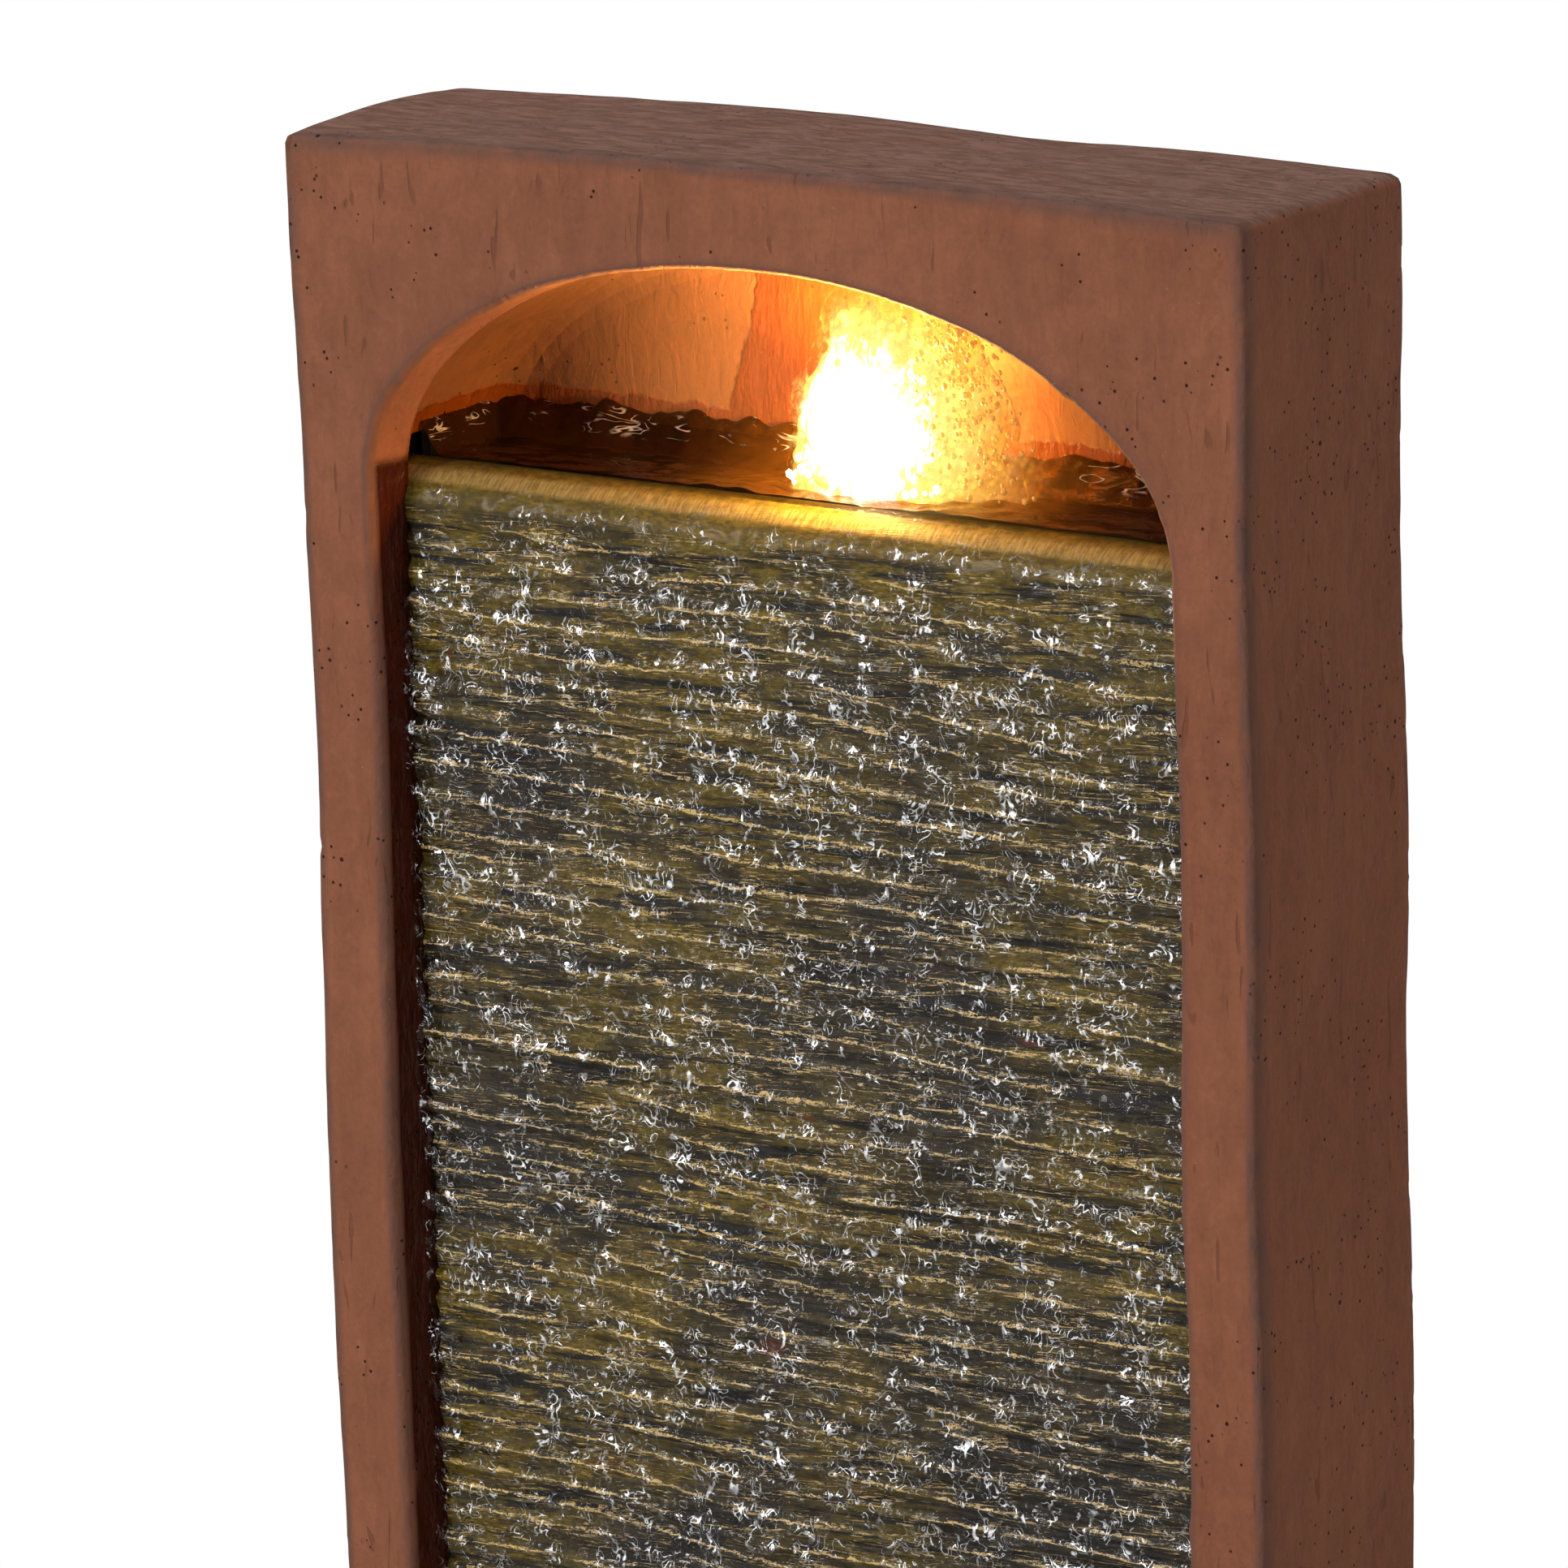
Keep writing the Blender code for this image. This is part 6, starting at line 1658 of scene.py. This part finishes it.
    def sparks(self) -> list[tuple[Vector, float]]:
        """The brightest beads, which glow as painted glints: one at the spout's left end, and
        others along its foot.

        Returns:
            Their middles and radii.
        """
        draw = random.Random(self.spark_seed)
        foot = self.level + 0.003
        drops = [(Vector((self.centre[0] - 0.026, self.centre[1] - 0.016, foot + 0.001)), 0.0021)]
        for _ in range(self.spark_count):
            x = self.centre[0] + draw.uniform(*self.spark_across)
            y = self.centre[1] - draw.uniform(*self.spark_toward)
            middle = Vector((x, y, foot + draw.random() ** 2 * 0.010))
            drops.append((middle, draw.uniform(*self.spark_radius)))
        return drops

    def build_drops(
        self, name: str, drops: Iterable[tuple[Vector, float]], finish: bpy.types.Material
    ) -> bpy.types.Object:
        """Makes scattered droplets as one piece.

        Args:
            name: the piece's name.
            drops: the droplets' middles and radii.
            finish: their material.

        Returns:
            The droplets.
        """
        bm = bmesh.new()
        for middle, radius in drops:
            matrix = Matrix.Translation(middle) @ Matrix.Diagonal((1.0, 1.0, 1.25, 1.0))
            bmesh.ops.create_icosphere(bm, subdivisions=1, radius=radius, matrix=matrix)
        return settle(piece_from(name, bm, finish), "root")


@dataclass
class Pool:
    """The water in the base, with foam where the film runs into it."""

    level: float = 0.100
    step: float = 0.0022
    foam_half: float = 0.166
    foam_back: float = 0.030
    ring_waves: float = 420.0
    ring_reach: float = 0.035
    chop: float = 0.0007
    ring_height: float = 0.0011
    tone: Triple = (0.020, 0.018, 0.014)
    clarity: float = 0.30
    noise: ValueNoise = field(default_factory=lambda: ValueNoise(37))
    # Each stretch's name, near left corner, far right corner and the near corners' radius.
    STRETCHES = (
        ("pool_front", (-0.2155, -0.1105), (0.2155, -0.0034), 0.0155),
        ("pool_rear", (-0.1662, -0.0034), (0.1662, 0.1100), 0.0),
    )

    def build(self, effects: Effects) -> None:
        """Builds the pool.

        Args:
            effects: the shared shader groups.
        """
        deep = PoolFinish("pool_water", self.tone, self.clarity, foams=True).build(effects)
        for name, low, high, corner in self.STRETCHES:
            self.build_stretch(name, low, high, corner, deep)

    def build_stretch(
        self, name: str, low: Pair, high: Pair, corner: float,
        finish: bpy.types.Material,
    ) -> bpy.types.Object:
        """Makes one rippled stretch of the pool.

        Args:
            name: the piece's name.
            low: its near left corner.
            high: its far right corner.
            corner: the radius of its near corners.
            finish: its material.

        Returns:
            The stretch.
        """
        grid = GridPiece(*(round((end - start) / self.step) for start, end in zip(low, high)))
        y = low[1] + (high[1] - low[1]) * grid.v
        past = np.clip(low[1] + corner - y, 0.0, corner)
        inset = corner - np.sqrt(corner**2 - past**2)
        x = (low[0] + inset) * (1.0 - grid.u) + (high[0] - inset) * grid.u
        place = stack(x, y, 0.0)
        chop = self.noise.layered(place, (0.022, 0.015, 1.0), 2)
        drift = 2.2 * self.noise.at(place, (0.05, 0.05, 1.0))
        rings = np.sin((0.02 - y) * self.ring_waves + drift)
        near_fall = np.exp(-np.abs(y - 0.012) / self.ring_reach)
        z = self.level + self.chop * chop + self.ring_height * rings * near_fall
        foam = hill(y, 0.014, 0.014) * (np.abs(x) < self.foam_half) * (y < self.foam_back)
        grid.bend(stack(x, y, z), foam=foam)
        return grid.as_water(name, finish, (0.0, 0.0, 1.0))


class Studio:
    """The camera, the lamps, the floor and the white surround."""

    CAMERA = (1.7760, -2.5737, 1.5810)
    AZIMUTH = math.radians(34.43)
    ELEVATION = math.radians(14.36)
    ROLL = math.radians(-1.67)
    LENS_MM = 210.48
    SENSOR_MM = 36.0
    CLIP = (0.05, 100.0)
    AIM = Vector((0.0, 0.0, 0.75))
    WARM = (1.0, 0.64, 0.16)
    BEAM_ANGLE = math.radians(156.0)
    GLOW_RADIUS = 0.010
    LAMPS = (
        ("key", (-1.2, -2.1, 1.7), (0.75, 1.1), 29.5),
        ("fill", (1.9, -1.7, 1.3), (0.35, 1.0), 12.5),
        ("strip", (-0.9, -2.3, 0.25), (1.1, 0.28), 7.0),
        ("overhead", (0.5, -1.7, 2.6), (0.8, 0.35), 2.4),
        ("top", (-0.3, -0.2, 2.7), (1.0, 0.8), 12.5),
        ("rear", (0.6, 2.3, 1.7), (1.2, 1.2), 14.0),
    )
    AMBIENT = 0.12
    FLOOR_TONE = (0.80, 0.80, 0.80)
    FLOOR_HALF = 9.0
    FLOOR_FADE = (0.35, 1.3)

    def camera(self) -> None:
        """Sets the camera where the photograph was taken from."""
        a, e, r = self.AZIMUTH, self.ELEVATION, self.ROLL
        right = Vector((math.cos(a), math.sin(a), 0.0))
        up = Vector((-math.sin(a) * math.sin(e), math.cos(a) * math.sin(e), math.cos(e)))
        rows = (math.cos(r) * right + math.sin(r) * up, -math.sin(r) * right + math.cos(r) * up)
        data = bpy.data.cameras.new("camera")
        data.lens = self.LENS_MM
        data.sensor_width = self.SENSOR_MM
        data.clip_start, data.clip_end = self.CLIP
        camera = put_in_scene("camera", data)
        turn = Matrix((*rows, right.cross(up))).transposed()
        camera.matrix_world = Matrix.Translation(self.CAMERA) @ turn.to_4x4()
        bpy.context.scene.camera = camera

    def lamps(self) -> None:
        """Places the soft boxes."""
        for name, place, size, power in self.LAMPS:
            data = bpy.data.lights.new(name, "AREA")
            data.shape = "RECTANGLE"
            data.size, data.size_y = size
            data.energy = power
            lamp = put_in_scene(name, data)
            lamp.location = place
            lamp.rotation_euler = (self.AIM - lamp.location).to_track_quat("-Z", "Y").to_euler()

    def glow(self, place: Triple, upward: float, around: float) -> None:
        """Adds the light that the spout throws, most of it upward.

        Args:
            place: the middle of the spout.
            upward: the power that goes up, in watts.
            around: the power that goes all round.
        """
        for name, kind, power in (("spout_beam", "SPOT", upward), ("spout_glow", "POINT", around)):
            data = bpy.data.lights.new(name, kind)
            data.energy = power
            data.color = self.WARM
            data.shadow_soft_size = self.GLOW_RADIUS
            lamp = put_in_scene(name, data)
            lamp.location = place
            if kind == "SPOT":
                data.spot_size = self.BEAM_ANGLE
                data.spot_blend = 1.0
                lamp.rotation_euler = (math.pi, 0.0, 0.0)

    @staticmethod
    def looked_at(sheet: Sheet) -> Signal:
        """1 where the eye meets a surface, straight, in a mirror or through glass.

        Args:
            sheet: the sheet that it is for.

        Returns:
            The mask.
        """
        path = sheet.add("LightPath")
        kinds = ("Is Camera Ray", "Is Glossy Ray", "Is Transmission Ray")
        straight, mirrored, through = (Signal(sheet, path.outputs[kind]) for kind in kinds)
        return straight | (mirrored | through)

    def surround(self) -> None:
        """Adds a white world to the eye and in reflections, and a soft grey one as light."""
        world = bpy.data.worlds.new("studio")
        bpy.context.scene.world = world
        world.use_nodes = True
        sheet = Sheet(world.node_tree)
        looks = {"Color": WHITE, "Strength": self.AMBIENT}
        dim = sheet.feed(world.node_tree.nodes["Background"], looks)
        white = sheet.feed(sheet.add("Background"), {"Color": WHITE, "Strength": 1.0})
        sheet.blend(self.looked_at(sheet), dim, white)

    def floor(self, effects: Effects) -> None:
        """Adds a plain pale floor under the feet, white to the eye from a little way off.

        Args:
            effects: the shared shader groups.
        """
        finish = Finish("floor").build(effects)
        sheet = Sheet(finish.node_tree)
        sheet.dress({"Base Color": self.FLOOR_TONE, "Roughness": 0.9})
        far = sheet.place().away(NONE).span(*self.FLOOR_FADE)
        sheet.blend(far * self.looked_at(sheet), sheet.shader, sheet.add("Emission"))
        bm = bmesh.new()
        bmesh.ops.create_grid(bm, x_segments=1, y_segments=1, size=self.FLOOR_HALF)
        piece_from("floor", bm, finish)

    def build(self, effects: Effects) -> None:
        """Builds the studio.

        Args:
            effects: the shared shader groups.
        """
        self.camera()
        self.lamps()
        self.surround()
        self.floor(effects)
        bpy.context.scene.view_settings.view_transform = "Standard"


class Fittings:
    """Gives the construction's own pieces their finishes."""

    FINISHES = {
        Slot.CAST: CastFinish("casting_plain", (0.254, 0.098, 0.058), reads_attributes=False),
        # The niche's tone is darker and more orange than the frame's casting: painted shade of the
        # recess and painted orange of the spout's light.
        Slot.NICHE: NicheFinish("niche_casting_painted_shade", (0.175, 0.062, 0.022)),
        Slot.RESIN: MouldedFinish("dark_resin", (0.030, 0.022, 0.016), 0.42),
        Slot.RUBBER: MouldedFinish("black_rubber", (0.018, 0.018, 0.018), 0.72),
        Slot.STEEL: MouldedFinish("satin_steel", (0.56, 0.55, 0.53), 0.34, 1.0, 1500.0, 0.00005),
        Slot.BLACK: MouldedFinish("black_moulding", (0.020, 0.020, 0.022), 0.45),
        Slot.COVER: MouldedFinish("brown_moulding", (0.105, 0.050, 0.034), 0.58, size=700.0),
        Slot.HOSE: MouldedFinish("black_vinyl", (0.030, 0.031, 0.030), 0.36, size=300.0),
        Slot.LENS: LensFinish("lit_lens"),
        Slot.BOARD: LensFinish("lit_board", (1.0, 0.8, 0.4), 3.0),
        Slot.CERAMIC: MouldedFinish("white_ceramic", (0.8, 0.79, 0.76), 0.22),
    }

    def __init__(self, nodes: dict, record: dict, effects: Effects) -> None:
        """Builds one finish for each slot.

        Args:
            nodes: the construction's objects by name.
            record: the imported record.
            effects: the shared shader groups.
        """
        self.nodes = nodes
        self.slots = {row["node"]: row["material_slot"] for row in record["subparts"]}
        self.finishes = {slot: finish.build(effects) for slot, finish in self.FINISHES.items()}

    def dress(self) -> None:
        """Gives each piece its slot's finish."""
        for name, node in self.nodes.items():
            finish = self.finishes.get(Slot(self.slots[name]))
            if finish is None:
                continue
            node.data.materials.clear()
            node.data.materials.append(finish)
            LOG.info("%s: %s", name, finish.name)


def main() -> None:
    """Builds the dressed fountain."""
    logging.basicConfig(level=logging.INFO, format="%(name)s: %(message)s")
    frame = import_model()
    effects = Effects()
    studio = Studio()
    studio.build(effects)
    Fittings(frame["nodes"], frame["record"], effects).dress()
    CastFrame().build(effects)
    Cascade().build(effects)
    Spout().build(effects, studio)
    Pool().build(effects)


if __name__ == "__main__":
    main()
